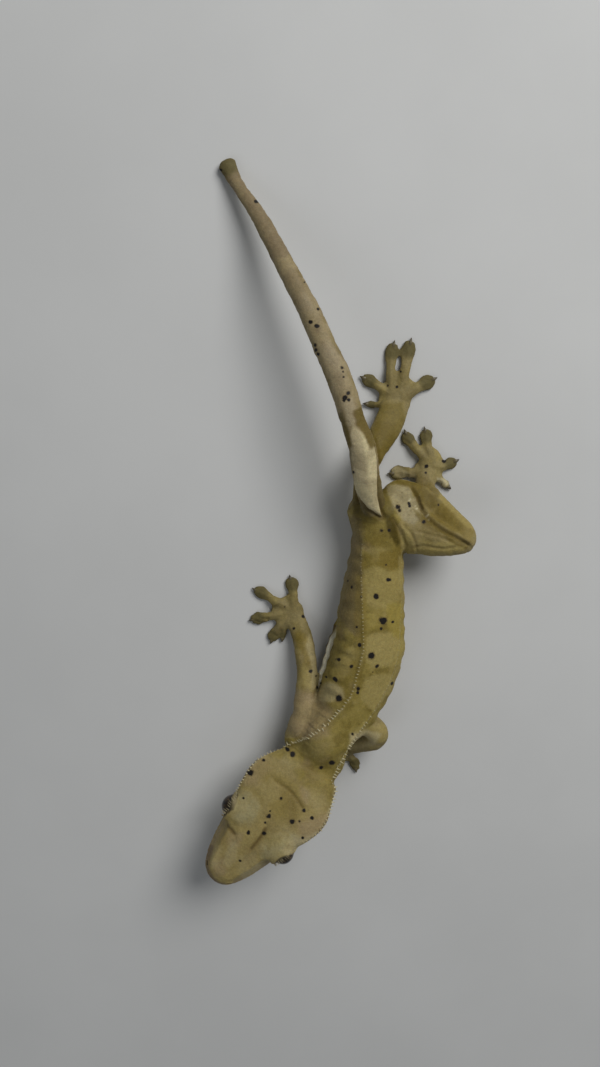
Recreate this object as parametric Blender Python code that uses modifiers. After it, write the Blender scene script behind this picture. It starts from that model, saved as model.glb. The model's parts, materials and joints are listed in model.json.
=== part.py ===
"""A crested gecko, life size, as a still model.

The animal lies head down the sheet (-Y), tail up the sheet (+Y), +Z off the
floor it rests on. Its head is lifted and turned to its right, its trunk is
rolled a little onto its left side, and its tail arches over the right foot and
comes down on its tip. All lengths below are millimetres; the finished solids
are in metres.
"""

import math

import bmesh
import bpy
import numpy as np
from mathutils import Matrix, Vector

# ---------------------------------------------------------------- main sizes
MM = 0.001
GAP = 0.32  # left between neighbouring pieces
FLOOR = 0.0  # the level of all the flats it rests on
ORIGIN = (8.6, 0.0)  # what is taken off X and Y so that the origin is central

# The layout sheet: places are given as (across, down, height). Across and down
# are steps on a sheet seen by an eye over the animal, tilted to the tail side.
EYE_DISTANCE = 227.0
EYE_TILT = math.radians(13.0)
EYE_STEPS = 930.0
SHEET_CENTRE = (300.0, 533.5)

VOXEL = 0.36  # grain of the joined body
BODY_FACES = 4700  # triangles in the whole body before it is parted

# Head, in its own frame: x to the snout, y to its left, z up, from mid-eyes
HEAD_PLACE = (-10.9, -71.6, 15.0)
HEAD_YAW = math.radians(-132.4)
HEAD_PITCH = math.radians(10.0)
HEAD_ROLL = math.radians(14.0)
EYE_RADIUS = 3.05
EYE_PLACE = (-0.9, 7.9, 0.4)
BROW_PLACE = (-2.4, 5.9, 1.9)
BROW_SIZE = (5.2, 3.7, 2.5)
LID_DEPTH = 0.55  # flesh behind and round the eyeball


def seen(across, down, height):
    """The place at a height over the floor that covers a step of the sheet."""
    x = (across - SHEET_CENTRE[0]) / EYE_STEPS
    y = (SHEET_CENTRE[1] - down) / EYE_STEPS
    c, s = math.cos(EYE_TILT), math.sin(EYE_TILT)
    k = (EYE_DISTANCE * c - height) / (c + y * s)
    return np.array([k * x - ORIGIN[0], EYE_DISTANCE * s + k * (y * c - s) - ORIGIN[1], height])


def head_axes():
    cy, sy = math.cos(HEAD_YAW), math.sin(HEAD_YAW)
    cp, sp = math.cos(HEAD_PITCH), math.sin(HEAD_PITCH)
    cr, sr = math.cos(HEAD_ROLL), math.sin(HEAD_ROLL)
    forward = np.array([cy * cp, sy * cp, sp])
    left = np.array([-sy, cy, 0.0])
    up = np.cross(forward, left)
    return np.stack([forward, left * cr + up * sr, up * cr - left * sr], 1)


HEAD_AXES = head_axes()
HEAD_ZERO = np.array(HEAD_PLACE) - np.array([*ORIGIN, 0.0])


def in_head(x, y, z):
    return HEAD_ZERO + HEAD_AXES @ np.array([x, y, z], float)


# ------------------------------------------------------------- shape tables
# Trunk, from the pelvis to the neck: across, down, height, half width,
# rise, drop, roll in degrees (minus: its left side is lower)
TRUNK = (
    (379, 509, 9.0, 5.4, 5.0, 5.6, -10),
    (380, 519, 8.6, 6.5, 5.6, 6.1, -12),
    (378, 540, 8.2, 6.3, 5.8, 6.3, -15),
    (375, 575, 8.2, 7.0, 6.3, 6.9, -18),
    (371, 615, 8.4, 8.0, 6.7, 7.2, -20),
    (368.5, 652, 8.6, 8.6, 6.9, 7.4, -22),
    (355.5, 688, 9.0, 8.3, 6.7, 7.2, -18),
    (341, 716, 10.0, 6.9, 6.2, 6.8, -10),
    (327, 737, 11.6, 5.8, 5.5, 6.0, -2),
)
NECK_IN_HEAD = (  # x, z, half width, rise, drop
    (-24.0, -1.6, 6.0, 5.0, 5.6),
    (-18.0, -1.4, 7.1, 5.2, 5.8),
)
# Tail, from inside the pelvis to its tip pad: across, down, height, half width, half height
TAIL = (
    (380, 524, 9.6, 2.7, 3.0),
    (372.5, 502, 12.6, 2.9, 3.1),
    (366.5, 477, 15.2, 3.1, 3.15),
    (362, 447, 16.5, 3.05, 3.1),
    (353, 421, 16.6, 2.7, 2.8),
    (345, 395, 16.4, 2.85, 2.8),
    (336, 370, 15.6, 2.75, 2.65),
    (323.5, 344, 14.5, 2.6, 2.5),
    (313, 319, 13.4, 2.5, 2.4),
    (300, 293, 12.0, 2.35, 2.3),
    (286, 267, 10.0, 2.2, 2.15),
    (273, 242, 7.6, 2.05, 2.0),
    (258, 215, 5.0, 1.75, 1.7),
    (241, 190, 2.9, 1.45, 1.4),
    (232, 175, 1.5, 1.75, 1.35),
    (227, 164, 1.05, 2.15, 1.3),
)
# Head sections: x, top, edge y, edge z, cheek y, cheek z, jaw y, jaw z, bottom
HEAD = (
    (16.1, -1.6, 1.7, -1.9, 2.1, -3.0, 1.5, -4.2, -4.5),
    (15.4, -0.5, 2.7, -1.2, 3.4, -3.0, 2.5, -4.6, -5.1),
    (13.8, 0.6, 3.5, -0.4, 4.7, -3.0, 3.7, -5.0, -5.6),
    (11.0, 1.5, 4.3, 0.2, 6.0, -3.1, 4.8, -5.4, -6.1),
    (8.2, 2.2, 5.0, 0.7, 6.9, -3.2, 5.6, -5.8, -6.6),
    (5.0, 3.0, 5.8, 1.1, 7.7, -3.4, 6.3, -6.2, -7.0),
    (1.5, 3.9, 7.2, 1.5, 8.5, -3.6, 6.9, -6.5, -7.4),
    (-2.5, 4.4, 9.0, 2.0, 9.3, -3.4, 7.5, -6.7, -7.7),
    (-6.5, 4.6, 10.5, 2.5, 9.9, -3.0, 7.9, -6.7, -7.8),
    (-10.5, 4.7, 11.4, 2.6, 10.3, -2.6, 7.9, -6.6, -7.8),
    (-14.0, 4.6, 11.2, 2.4, 10.0, -2.4, 7.6, -6.3, -7.6),
    (-17.5, 4.3, 9.3, 2.1, 8.5, -2.2, 6.7, -5.9, -7.2),
    (-21.0, 3.9, 7.5, 1.8, 7.0, -2.0, 5.6, -5.4, -6.7),
)
# Limbs: rows of across, down, height, half width, half height
LIMBS = {
    "arm_right": (
        (328, 734, 9.6, 3.8, 4.0),
        (313, 730, 9.2, 4.0, 4.0),
        (306, 709, 8.2, 3.2, 3.2),
        (306, 690, 7.0, 2.65, 2.6),
        (307, 673, 5.8, 2.6, 2.4),
        (305.5, 655, 4.4, 2.55, 2.2),
        (302, 636, 2.9, 2.5, 1.8),
        (296, 620, 1.9, 2.7, 1.3),
    ),
    "arm_left": (
        (345, 712, 8.4, 3.6, 3.6),
        (364, 721, 9.0, 3.1, 3.2),
        (377.5, 733, 9.3, 2.7, 2.7),
        (374, 740, 7.2, 2.6, 2.5),
        (360, 744, 4.1, 2.3, 1.9),
        (347, 748, 2.2, 2.2, 1.4),
    ),
    "leg_left": (
        (385, 519, 7.8, 5.2, 4.6),
        (406, 529, 8.7, 5.7, 4.3),
        (428, 536, 10.2, 4.7, 3.9),
        (450, 541, 12.0, 3.5, 3.2),
        (465, 542, 12.8, 2.5, 2.5),
        (463, 532, 11.6, 2.7, 2.6),
        (445, 515, 8.6, 2.9, 2.6),
        (431, 499, 5.4, 2.8, 2.1),
        (425, 486, 3.2, 2.5, 1.6),
        (429, 473, 1.9, 2.7, 1.2),
    ),
    "leg_right": (
        (379, 522, 7.4, 4.4, 4.2),
        (369, 510, 7.6, 4.0, 3.8),
        (366, 487, 6.7, 3.1, 2.8),
        (367, 466, 6.7, 2.8, 2.6),
        (374, 450, 6.2, 3.0, 2.5),
        (382, 436, 5.0, 3.3, 2.3),
        (390, 420, 3.4, 3.5, 1.8),
        (396, 405, 2.1, 3.3, 1.3),
    ),
}
# Palms: centre across, down, half length, half width, turn in degrees
PALMS = {
    "arm_right": (292, 613, 3.4, 3.2, 80),
    "arm_left": (341, 751, 3.1, 2.9, 190),
    "leg_left": (431, 465, 4.4, 3.1, 95),
    "leg_right": (397, 399, 4.5, 3.5, 85),
}
# Toes: start, bend, pad middle, claw tip, each across and down, then pad half width
TOES = {
    "arm_right": (
        ((293, 606), (293.5, 596), (291.8, 583.5), (288.8, 572.5), 1.85),
        ((287, 607), (274, 600), (260.5, 592.5), (249, 586.5), 1.75),
        ((285, 613), (273, 615.5), (258, 618), (245, 621.3), 1.75),
        ((286, 618), (280, 625), (273.5, 635), (269, 647.5), 1.6),
        ((288, 619), (285, 627), (283, 634.5), (281.5, 643.5), 1.05),
    ),
    "arm_left": (
        ((344, 752), (350, 756), (354.6, 763), (357.4, 778), 1.65),
        ((339, 756), (333, 766), (328, 777), (324, 787), 1.6),
        ((336, 755), (324, 762), (315, 771), (308, 779), 1.6),
        ((335, 751), (323, 752), (312, 755), (302, 757), 1.55),
        ((337, 746), (328, 741), (320, 740), (313, 742), 1.3),
    ),
    "leg_left": (
        ((426, 458), (416.5, 449), (407.5, 438), (403, 426.5), 1.7),
        ((430, 456), (427.5, 447.5), (426, 436), (423.5, 423.5), 1.8),
        ((435, 466), (442, 467), (450.5, 463.3), (462, 458.2), 1.75),
        ((434, 471), (440, 478), (445.5, 484.5), (451.5, 489.5), 1.1),
        ((423, 472), (411, 473), (398, 473), (382.5, 474), 1.95),
    ),
    "leg_right": (
        ((391, 391), (390.5, 374), (391.5, 352), (396.3, 334.5), 1.8),
        ((400, 391), (404.5, 373), (408.5, 350), (413.2, 331), 1.95),
        ((403, 397), (415, 389), (427.5, 382), (441.5, 375.5), 2.0),
        ((390, 394), (380, 387), (369, 380.5), (356, 374.5), 1.85),
        ((389, 401), (380, 405), (371, 404.5), (361.5, 403.5), 1.1),
    ),
}
CLAW_THICKNESS = 0.36
# Where flesh runs smoothly from one part to the next: across, down, height, reach
JOINS = (
    (306, 722, 9, 7),
    (322, 722, 9, 7),
    (352, 716, 9, 7),
    (330, 738, 11, 7),
    (312, 757, 12, 7),
    (398, 505, 8, 10),
    (400, 540, 8, 8),
    (425, 512, 8, 8),
    (366, 505, 8, 7),
    (378, 500, 11, 6),
    (395, 412, 3, 4),
    (428, 482, 3, 4),
    (298, 622, 3, 4),
    (350, 747, 3, 4),
)
# Thin upright cuts between the parts: name, two ends of the cut as seen at a height, lowest, highest
CUTS = (
    ("cut_head", (271, 719), (343, 786), 10, 3.2, 24),
    ("cut_neck", (290, 737), (366, 752), 9, 4.4, 24),
    ("cut_waist", (330, 573), (420, 566), 8, -1, 22),
    ("cut_rump", (346, 485), (391.5, 487), 9, -1, 22),
    ("cut_tail_crease", (335, 427), (372, 415), 16, 9, 24),
    ("cut_tail_end", (266, 277), (308, 257), 10, 2, 18),
    ("cut_shoulder_right", (322, 662), (314, 742), 8.5, -1, 17),
    ("cut_elbow_right", (292, 688), (322, 692), 7, -1, 13),
    ("cut_wrist_right", (289, 648), (320, 642), 3.4, -1, 8),
    ("cut_shoulder_left", (351.5, 745), (391, 703), 9, 3.3, 17),
    ("cut_elbow_left", (359.7, 736), (394, 740), 8.0, -1, 14),
    ("cut_wrist_left", (352, 733), (354, 762), 3, -1, 6),
    ("cut_hip_left", (389, 474), (411, 566), 8.5, -1, 17),
    ("cut_knee_left", (408, 479), (476, 557), 8.5, 2.2, 18),
    ("cut_ankle_left", (412, 487), (442, 483), 3, -1, 7),
    ("cut_knee_right", (350, 468), (390, 454), 6.6, -1, 11.0),
    ("cut_ankle_right", (376, 409), (414, 418), 3, -1, 7),
)
MOUTH = (-8.5, -3.7)  # where the mouth ends and how high it is, in the head's frame
# The parts, each with a place inside it and its colour
PARTS = (
    ("head", "head", (-4, 0, 1.5), "pale"),
    ("lower_jaw", "head", (4, 0, -5.4), "pale"),
    ("neck", "sheet", (320, 752, 12), "skin"),
    ("trunk", "sheet", (368, 645, 8.5), "skin"),
    ("pelvis", "sheet", (378, 535, 8.3), "skin"),
    ("tail_base", "sheet", (366, 455, 15.3), "pale"),
    ("tail_middle", "sheet", (325, 345, 14.4), "skin"),
    ("tail_tip", "sheet", (256, 212, 4.8), "skin"),
    ("upper_arm_right", "sheet", (305, 715, 8.4), "skin"),
    ("forearm_right", "sheet", (305, 660, 4.8), "skin"),
    ("hand_right", "sheet", (286, 609, 1.4), "pad"),
    ("upper_arm_left", "sheet", (371, 726, 9.2), "skin"),
    ("forearm_left", "sheet", (368, 743, 6.0), "skin"),
    ("hand_left", "sheet", (339, 754, 1.4), "pad"),
    ("thigh_left", "sheet", (428, 533, 9.8), "skin"),
    ("shank_left", "sheet", (445, 511, 8.0), "skin"),
    ("foot_left", "sheet", (429, 462, 1.5), "pad"),
    ("thigh_right", "sheet", (366, 479, 7.0), "skin"),
    ("shank_right", "sheet", (381, 437, 5.0), "skin"),
    ("foot_right", "sheet", (397, 387, 1.5), "pad"),
)
COLOURS = {
    "skin": (0.42, 0.33, 0.13),
    "pale": (0.56, 0.46, 0.24),
    "pad": (0.24, 0.19, 0.10),
    "eye": (0.06, 0.045, 0.03),
}


# ----------------------------------------------------------------- geometry
def run(rows, steps):
    """Rows of numbers along a smooth curve through the given rows, which are spaced by their first three."""
    rows = np.array(rows, float)
    t = np.concatenate([[0.0], np.cumsum(np.linalg.norm(np.diff(rows[:, :3], axis=0), axis=1))])
    slope = np.empty_like(rows)
    slope[1:-1] = (rows[2:] - rows[:-2]) / (t[2:] - t[:-2])[:, None]
    slope[0] = (rows[1] - rows[0]) / (t[1] - t[0])
    slope[-1] = (rows[-1] - rows[-2]) / (t[-1] - t[-2])
    out = []
    for i in range(len(rows) - 1):
        h = t[i + 1] - t[i]
        for k in range(steps):
            s = k / steps
            a, b = 2 * s**3 - 3 * s**2 + 1, s**3 - 2 * s**2 + s
            c, d = -2 * s**3 + 3 * s**2, s**3 - s**2
            out.append(a * rows[i] + b * h * slope[i] + c * rows[i + 1] + d * h * slope[i + 1])
    out.append(rows[-1])
    return np.array(out)


def loft(bm, rings):
    """A closed skin over rings of points, with a rounded fan at each end."""
    made = [[bm.verts.new(p) for p in ring] for ring in rings]
    count = len(made[0])
    for a, b in zip(made, made[1:]):
        for i in range(count):
            j = (i + 1) % count
            bm.faces.new((a[i], a[j], b[j], b[i]))
    for ring, flip in ((made[0], False), (made[-1], True)):
        middle = bm.verts.new(sum((v.co for v in ring), Vector()) / count)
        for i in range(count):
            j = (i + 1) % count
            bm.faces.new((middle, ring[j], ring[i]) if not flip else (middle, ring[i], ring[j]))


def oval_rings(rows, sides=22, power=2.0, hint=(0, 0, 1), cap=0.8):
    """Rings of ovals along rows of x, y, z, half width, rise, drop and roll, with rounded ends."""
    rows = np.array(rows, float)
    middle = rows[:, :3]
    along = np.gradient(middle, axis=0)
    along /= np.linalg.norm(along, axis=1)[:, None]
    hint = np.array(hint, float)
    turn = np.linspace(0, 2 * math.pi, sides, endpoint=False)
    c, s = np.cos(turn), np.sin(turn)
    ex, ey = np.sign(c) * np.abs(c) ** (2 / power), np.sign(s) * np.abs(s) ** (2 / power)

    def ring(i, shift, scale):
        t = along[i]
        side = np.cross(hint, t)
        side /= np.linalg.norm(side)
        up = np.cross(t, side)
        w, rise, drop, roll = rows[i, 3:7]
        r = math.radians(roll)
        side, up = side * math.cos(r) + up * math.sin(r), up * math.cos(r) - side * math.sin(r)
        at = middle[i] + t * shift
        tall = np.where(ey > 0, rise, drop) * ey
        return [at + (side * w * ex[k] + up * tall[k]) * scale for k in range(sides)]

    rings = []
    small = cap * min(rows[0, 3:6])
    for a in (75, 50, 25):
        rings.append(ring(0, -small * math.sin(math.radians(a)), math.cos(math.radians(a))))
    rings += [ring(i, 0.0, 1.0) for i in range(len(rows))]
    small = cap * min(rows[-1, 3:6])
    for a in (25, 50, 75):
        rings.append(ring(len(rows) - 1, small * math.sin(math.radians(a)), math.cos(math.radians(a))))
    return rings


def tube(bm, rows, steps=5, **more):
    loft(bm, oval_rings(run(rows, steps), **more))


def ball(bm, centre, size, axes=None, finer=1):
    """An ellipsoid at a place, with its half sizes along three axes."""
    frame = Matrix.Identity(3) if axes is None else Matrix(np.array(axes).tolist())
    place = Matrix.Translation(Vector(centre)) @ frame.to_4x4() @ Matrix.Diagonal((*size, 1.0))
    bmesh.ops.create_uvsphere(bm, u_segments=20 * finer, v_segments=12 * finer, radius=1.0, matrix=place)


def head_ring(row):
    """One section of the head, from a row of its table, as a smooth closed ring."""
    x, top, ey, ez, cy, cz, jy, jz, bottom = row
    half = [(0.0, top), (0.55 * ey, top - 0.12 * (top - ez)), (ey, ez), (cy, cz), (jy, jz), (0.5 * jy, bottom + 0.15), (0.0, bottom)]
    whole = half + [(-y, z) for y, z in half[-2:0:-1]]
    pts = np.array(whole)
    n = len(pts)
    ring = []
    for i in range(n):
        p0, p1, p2, p3 = pts[i - 1], pts[i], pts[(i + 1) % n], pts[(i + 2) % n]
        for k in range(4):
            s = k / 4
            q = 0.5 * (2 * p1 + (p2 - p0) * s + (2 * p0 - 5 * p1 + 4 * p2 - p3) * s * s + (3 * p1 - p0 - 3 * p2 + p3) * s**3)
            ring.append(in_head(x, q[0], q[1]))
    return ring


def add_head(bm):
    rows = np.array(HEAD)
    fine = []
    for a, b in zip(rows, rows[1:]):
        fine += [a + (b - a) * k / 3 for k in range(3)]
    fine.append(rows[-1])
    fine = np.array(fine)
    smooth = fine.copy()
    smooth[1:-1] = 0.25 * fine[:-2] + 0.5 * fine[1:-1] + 0.25 * fine[2:]
    rings = [head_ring(r) for r in smooth]
    # the blunt front of the snout and the rounded rear, drawn in towards their middles
    front, rear = np.mean(rings[0], 0), np.mean(rings[-1], 0)
    ahead = HEAD_AXES[:, 0]
    first = [front + (np.array(p) - front) * 0.6 + ahead * 0.4 for p in rings[0]]
    last = [rear + (np.array(p) - rear) * 0.6 - ahead * 1.5 for p in rings[-1]]
    loft(bm, [last, *rings[::-1], first])
    for side in (1, -1):
        x, y, z = BROW_PLACE
        ball(bm, in_head(x, side * y, z), BROW_SIZE, HEAD_AXES)
        # the jaw muscle behind the eye, and the lid's rim round the eye
        ball(bm, in_head(-10.0, side * 6.6, -2.2), (6.2, 3.6, 4.2), HEAD_AXES)
        x, y, z = EYE_PLACE
        ball(bm, in_head(x, side * (y - 1.0), z), (EYE_RADIUS + LID_DEPTH, EYE_RADIUS, EYE_RADIUS + LID_DEPTH), HEAD_AXES)
    # the ridge down the snout
    loft(bm, oval_rings(run([(*in_head(3.0, 0, 1.6), 1.5, 1.2, 1.2, 0), (*in_head(8.0, 0, 1.1), 1.3, 1.0, 1.0, 0), (*in_head(12.4, 0, 0.1), 1.1, 0.8, 0.8, 0)], 4), sides=14))


def add_trunk(bm):
    rows = [(*seen(u, v, z), w, rise, drop, roll) for u, v, z, w, rise, drop, roll in TRUNK]
    turn = math.degrees(HEAD_ROLL)
    rows += [(*in_head(x, 0, z), w, rise, drop, turn * k) for (x, z, w, rise, drop), k in zip(NECK_IN_HEAD, (0.5, 1.0))]
    tube(bm, rows, steps=6, sides=30, power=2.25)


def add_tail(bm):
    tube(bm, [(*seen(u, v, z), w, h, h, 0) for u, v, z, w, h in TAIL], steps=5, sides=20)


def add_limbs(bm):
    for name, table in LIMBS.items():
        tube(bm, [(*seen(u, v, z), w, h, h, 0) for u, v, z, w, h in table], steps=5, sides=18)
    # muscle and loose skin at the shoulders and the hips, and the skin between the left thigh and shank
    ball(bm, seen(304, 727, 8.6), (4.2, 4.7, 4.4))
    ball(bm, seen(297, 737, 8.8), (3.3, 3.5, 3.4))
    ball(bm, seen(322, 718, 8.8), (5.0, 5.6, 4.9))
    ball(bm, seen(352, 712, 8.6), (4.8, 5.0, 4.6))
    ball(bm, seen(392, 518, 7.8), (5.0, 5.0, 4.8))
    ball(bm, seen(400, 500, 7.4), (4.6, 5.2, 3.4))
    ball(bm, seen(366, 514, 7.6), (4.4, 5.2, 4.6))
    web = [(*seen(406, 496, 7.0), 3.8, 2.0, 2.0, 0), (*seen(422, 504, 7.4), 4.2, 1.5, 1.5, 0), (*seen(444, 522, 9.4), 3.4, 1.3, 1.3, 0)]
    tube(bm, web, steps=4, sides=14)
    # the fold of loose skin low on the right flank
    fold = [(*seen(321, 694, 6.0), 0.9, 1.0, 1.0, 0), (*seen(325.5, 672, 5.2), 1.4, 1.1, 1.1, 0), (*seen(333.5, 642, 5.2), 1.3, 1.1, 1.1, 0), (*seen(345, 606, 5.6), 0.9, 1.0, 1.0, 0)]
    tube(bm, fold, steps=4, sides=12)


def add_feet(bm):
    for name, (u, v, long, wide, turn) in PALMS.items():
        a = math.radians(turn)
        axes = np.array([[math.cos(a), -math.sin(a), 0], [math.sin(a), math.cos(a), 0], [0, 0, 1]])
        ball(bm, seen(u, v, 1.15), (long, wide, 1.35), axes)
        toes = TOES[name]
        for one, two in zip(toes[:-1], toes[1:]):
            a, b, c, d = seen(*one[0], 1.0), seen(*one[1], 1.0), seen(*two[0], 1.0), seen(*two[1], 1.0)
            root, ends = (a + c) / 2, (b + d) / 2
            out = (ends - root)[:2]
            reach = float(np.hypot(*out))
            if np.linalg.norm(b - d) > 9.0 or reach < 0.6:
                continue
            out /= reach
            frame = np.array([[out[0], -out[1], 0], [out[1], out[0], 0], [0, 0, 1]])
            web = 0.35 if reach < 8.5 else 0.55
            ball(bm, root + (ends - root) * web, (0.85 * reach, 0.5 * float(np.linalg.norm(b - d)) + 0.5, 0.62), frame)
        for start, bend, pad, claw, wide in toes:
            p0, p1, p2, p3 = seen(*start, 1.3), seen(*bend, 1.45), seen(*pad, 0.55), seen(*claw, 0.55)
            neck = p1 + (p2 - p1) * 0.45 + np.array([0, 0, -0.05])
            tip = p2 + (p3 - p2) * 0.42
            toe = [
                (*p0, 0.85 * wide, 1.0, 1.0, 0),
                (*p1, 0.66 * wide, 0.8, 0.85, 0),
                (*neck, 0.72 * wide, 0.62, 0.7, 0),
                (*p2, wide, 0.58, 0.7, 0),
                (*tip, 0.66 * wide, 0.5, 0.6, 0),
            ]
            tube(bm, toe, steps=4, sides=14)
            base = p2 + (p3 - p2) * 0.30 + np.array([0, 0, 0.25])
            knuckle = p2 + (p3 - p2) * 0.62 + np.array([0, 0, 0.45])
            thin = CLAW_THICKNESS
            tube(bm, [(*base, 1.5 * thin, 1.5 * thin, 1.5 * thin, 0), (*knuckle, 1.25 * thin, 1.25 * thin, 1.25 * thin, 0), (*p3, thin * 0.75, thin * 0.75, thin * 0.75, 0)], steps=3, sides=10)


# ------------------------------------------------------------------ objects
def clear():
    for o in list(bpy.data.objects):
        bpy.data.objects.remove(o, do_unlink=True)
    for kind in (bpy.data.meshes, bpy.data.curves, bpy.data.materials):
        for d in list(kind):
            kind.remove(d)


def collection(name):
    made = bpy.data.collections.new(name)
    bpy.context.scene.collection.children.link(made)
    return made


def finish(name, colour, rough):
    m = bpy.data.materials.new(name)
    m.use_nodes = True
    shader = m.node_tree.nodes["Principled BSDF"]
    shader.inputs["Base Color"].default_value = (*colour, 1.0)
    shader.inputs["Roughness"].default_value = rough
    shader.inputs["Metallic"].default_value = 0.0
    m.diffuse_color = (*colour, 1.0)
    return m


def put(bm, name, into):
    me = bpy.data.meshes.new(name)
    bm.to_mesh(me)
    bm.free()
    o = bpy.data.objects.new(name, me)
    into.objects.link(o)
    return o


def evaluated(o, name):
    """The object with its modifiers worked into its mesh."""
    bpy.context.view_layer.update()
    me = bpy.data.meshes.new_from_object(o.evaluated_get(bpy.context.evaluated_depsgraph_get()))
    me.name = name
    o.modifiers.clear()
    old, o.data = o.data, me
    bpy.data.meshes.remove(old)


def cutter(o):
    o.hide_render = True
    o.display_type = "WIRE"
    return o


def blade(name, into, one, two, height, low, high):
    """A thin upright plate that stands on the line between two places."""
    a, b = seen(*one, height), seen(*two, height)
    along = (b - a)[:2]
    long = float(np.hypot(*along))
    turn = math.atan2(along[1], along[0])
    middle = ((a + b) / 2)[:2]
    bm = bmesh.new()
    place = Matrix.Translation((middle[0] * MM, middle[1] * MM, 0.5 * (low + high) * MM)) @ Matrix.Rotation(turn, 4, "Z")
    bmesh.ops.create_cube(bm, size=1.0, matrix=place @ Matrix.Diagonal((long * MM, GAP * MM, (high - low) * MM, 1.0)))
    return cutter(put(bm, name, into))


def head_box(name, into, low, high):
    """A block in the head's frame between two corners."""
    a, b = np.array(low, float), np.array(high, float)
    frame = Matrix(HEAD_AXES.tolist()).to_4x4()
    place = Matrix.Translation(Vector(in_head(*((a + b) / 2))) * MM) @ frame
    bm = bmesh.new()
    bmesh.ops.create_cube(bm, size=1.0, matrix=place @ Matrix.Diagonal((*((b - a) * MM), 1.0)))
    return cutter(put(bm, name, into))


def globe(name, into, centre, radius, around=20, high=11):
    bm = bmesh.new()
    frame = Matrix(HEAD_AXES.tolist()).to_4x4() @ Matrix.Rotation(math.pi / 2, 4, "X")
    bmesh.ops.create_uvsphere(bm, u_segments=around, v_segments=high, radius=radius * MM, matrix=Matrix.Translation(Vector(centre) * MM) @ frame)
    return put(bm, name, into)


def difference(o, tool):
    m = o.modifiers.new(tool.name, "BOOLEAN")
    m.operation = "DIFFERENCE"
    m.object = tool


def soften(o):
    """Marks where the parts run into each other, so that the flesh there is drawn smooth."""
    group = o.vertex_groups.new(name="joins")
    co = np.empty(len(o.data.vertices) * 3, np.float32)
    o.data.vertices.foreach_get("co", co)
    co = co.reshape(-1, 3) / MM
    weight = np.zeros(len(co))
    for u, v, z, reach in JOINS:
        away = np.linalg.norm(co - seen(u, v, z), axis=1) / reach
        weight = np.maximum(weight, np.clip(2.0 - 2.0 * away, 0.0, 1.0))
    for i in np.nonzero(weight > 0.02)[0]:
        group.add([int(i)], float(weight[i]), "REPLACE")
    m = o.modifiers.new("joins", "SMOOTH")
    m.vertex_group = "joins"
    m.factor = 0.5
    m.iterations = 30


def pieces(o):
    """The separate closed bodies of a mesh, largest first, as lists of its faces."""
    bm = bmesh.new()
    bm.from_mesh(o.data)
    bmesh.ops.triangulate(bm, faces=bm.faces)
    # folded flaps without thickness, where two faces hold the same corners
    corners = {}
    for f in bm.faces:
        corners.setdefault(frozenset(v.index for v in f.verts), []).append(f)
    flaps = [f for twins in corners.values() if len(twins) > 1 for f in twins]
    bmesh.ops.delete(bm, geom=flaps, context="FACES_ONLY")
    bm.verts.index_update()
    bm.faces.index_update()
    bm.faces.ensure_lookup_table()
    left = set(range(len(bm.faces)))
    found = []
    while left:
        todo, seen_now = [left.pop()], []
        while todo:
            f = todo.pop()
            seen_now.append(f)
            for e in bm.faces[f].edges:
                for other in e.link_faces:
                    if other.index in left:
                        left.remove(other.index)
                        todo.append(other.index)
        found.append(seen_now)
    out = []
    for faces in found:
        part = bmesh.new()
        index = {}
        for f in faces:
            for v in bm.faces[f].verts:
                if v.index not in index:
                    index[v.index] = part.verts.new(v.co)
        for f in faces:
            part.faces.new([index[v.index] for v in bm.faces[f].verts])
        bmesh.ops.recalc_face_normals(part, faces=part.faces)
        out.append(part)
    bm.free()
    return sorted(out, key=lambda b: -b.calc_volume())


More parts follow.
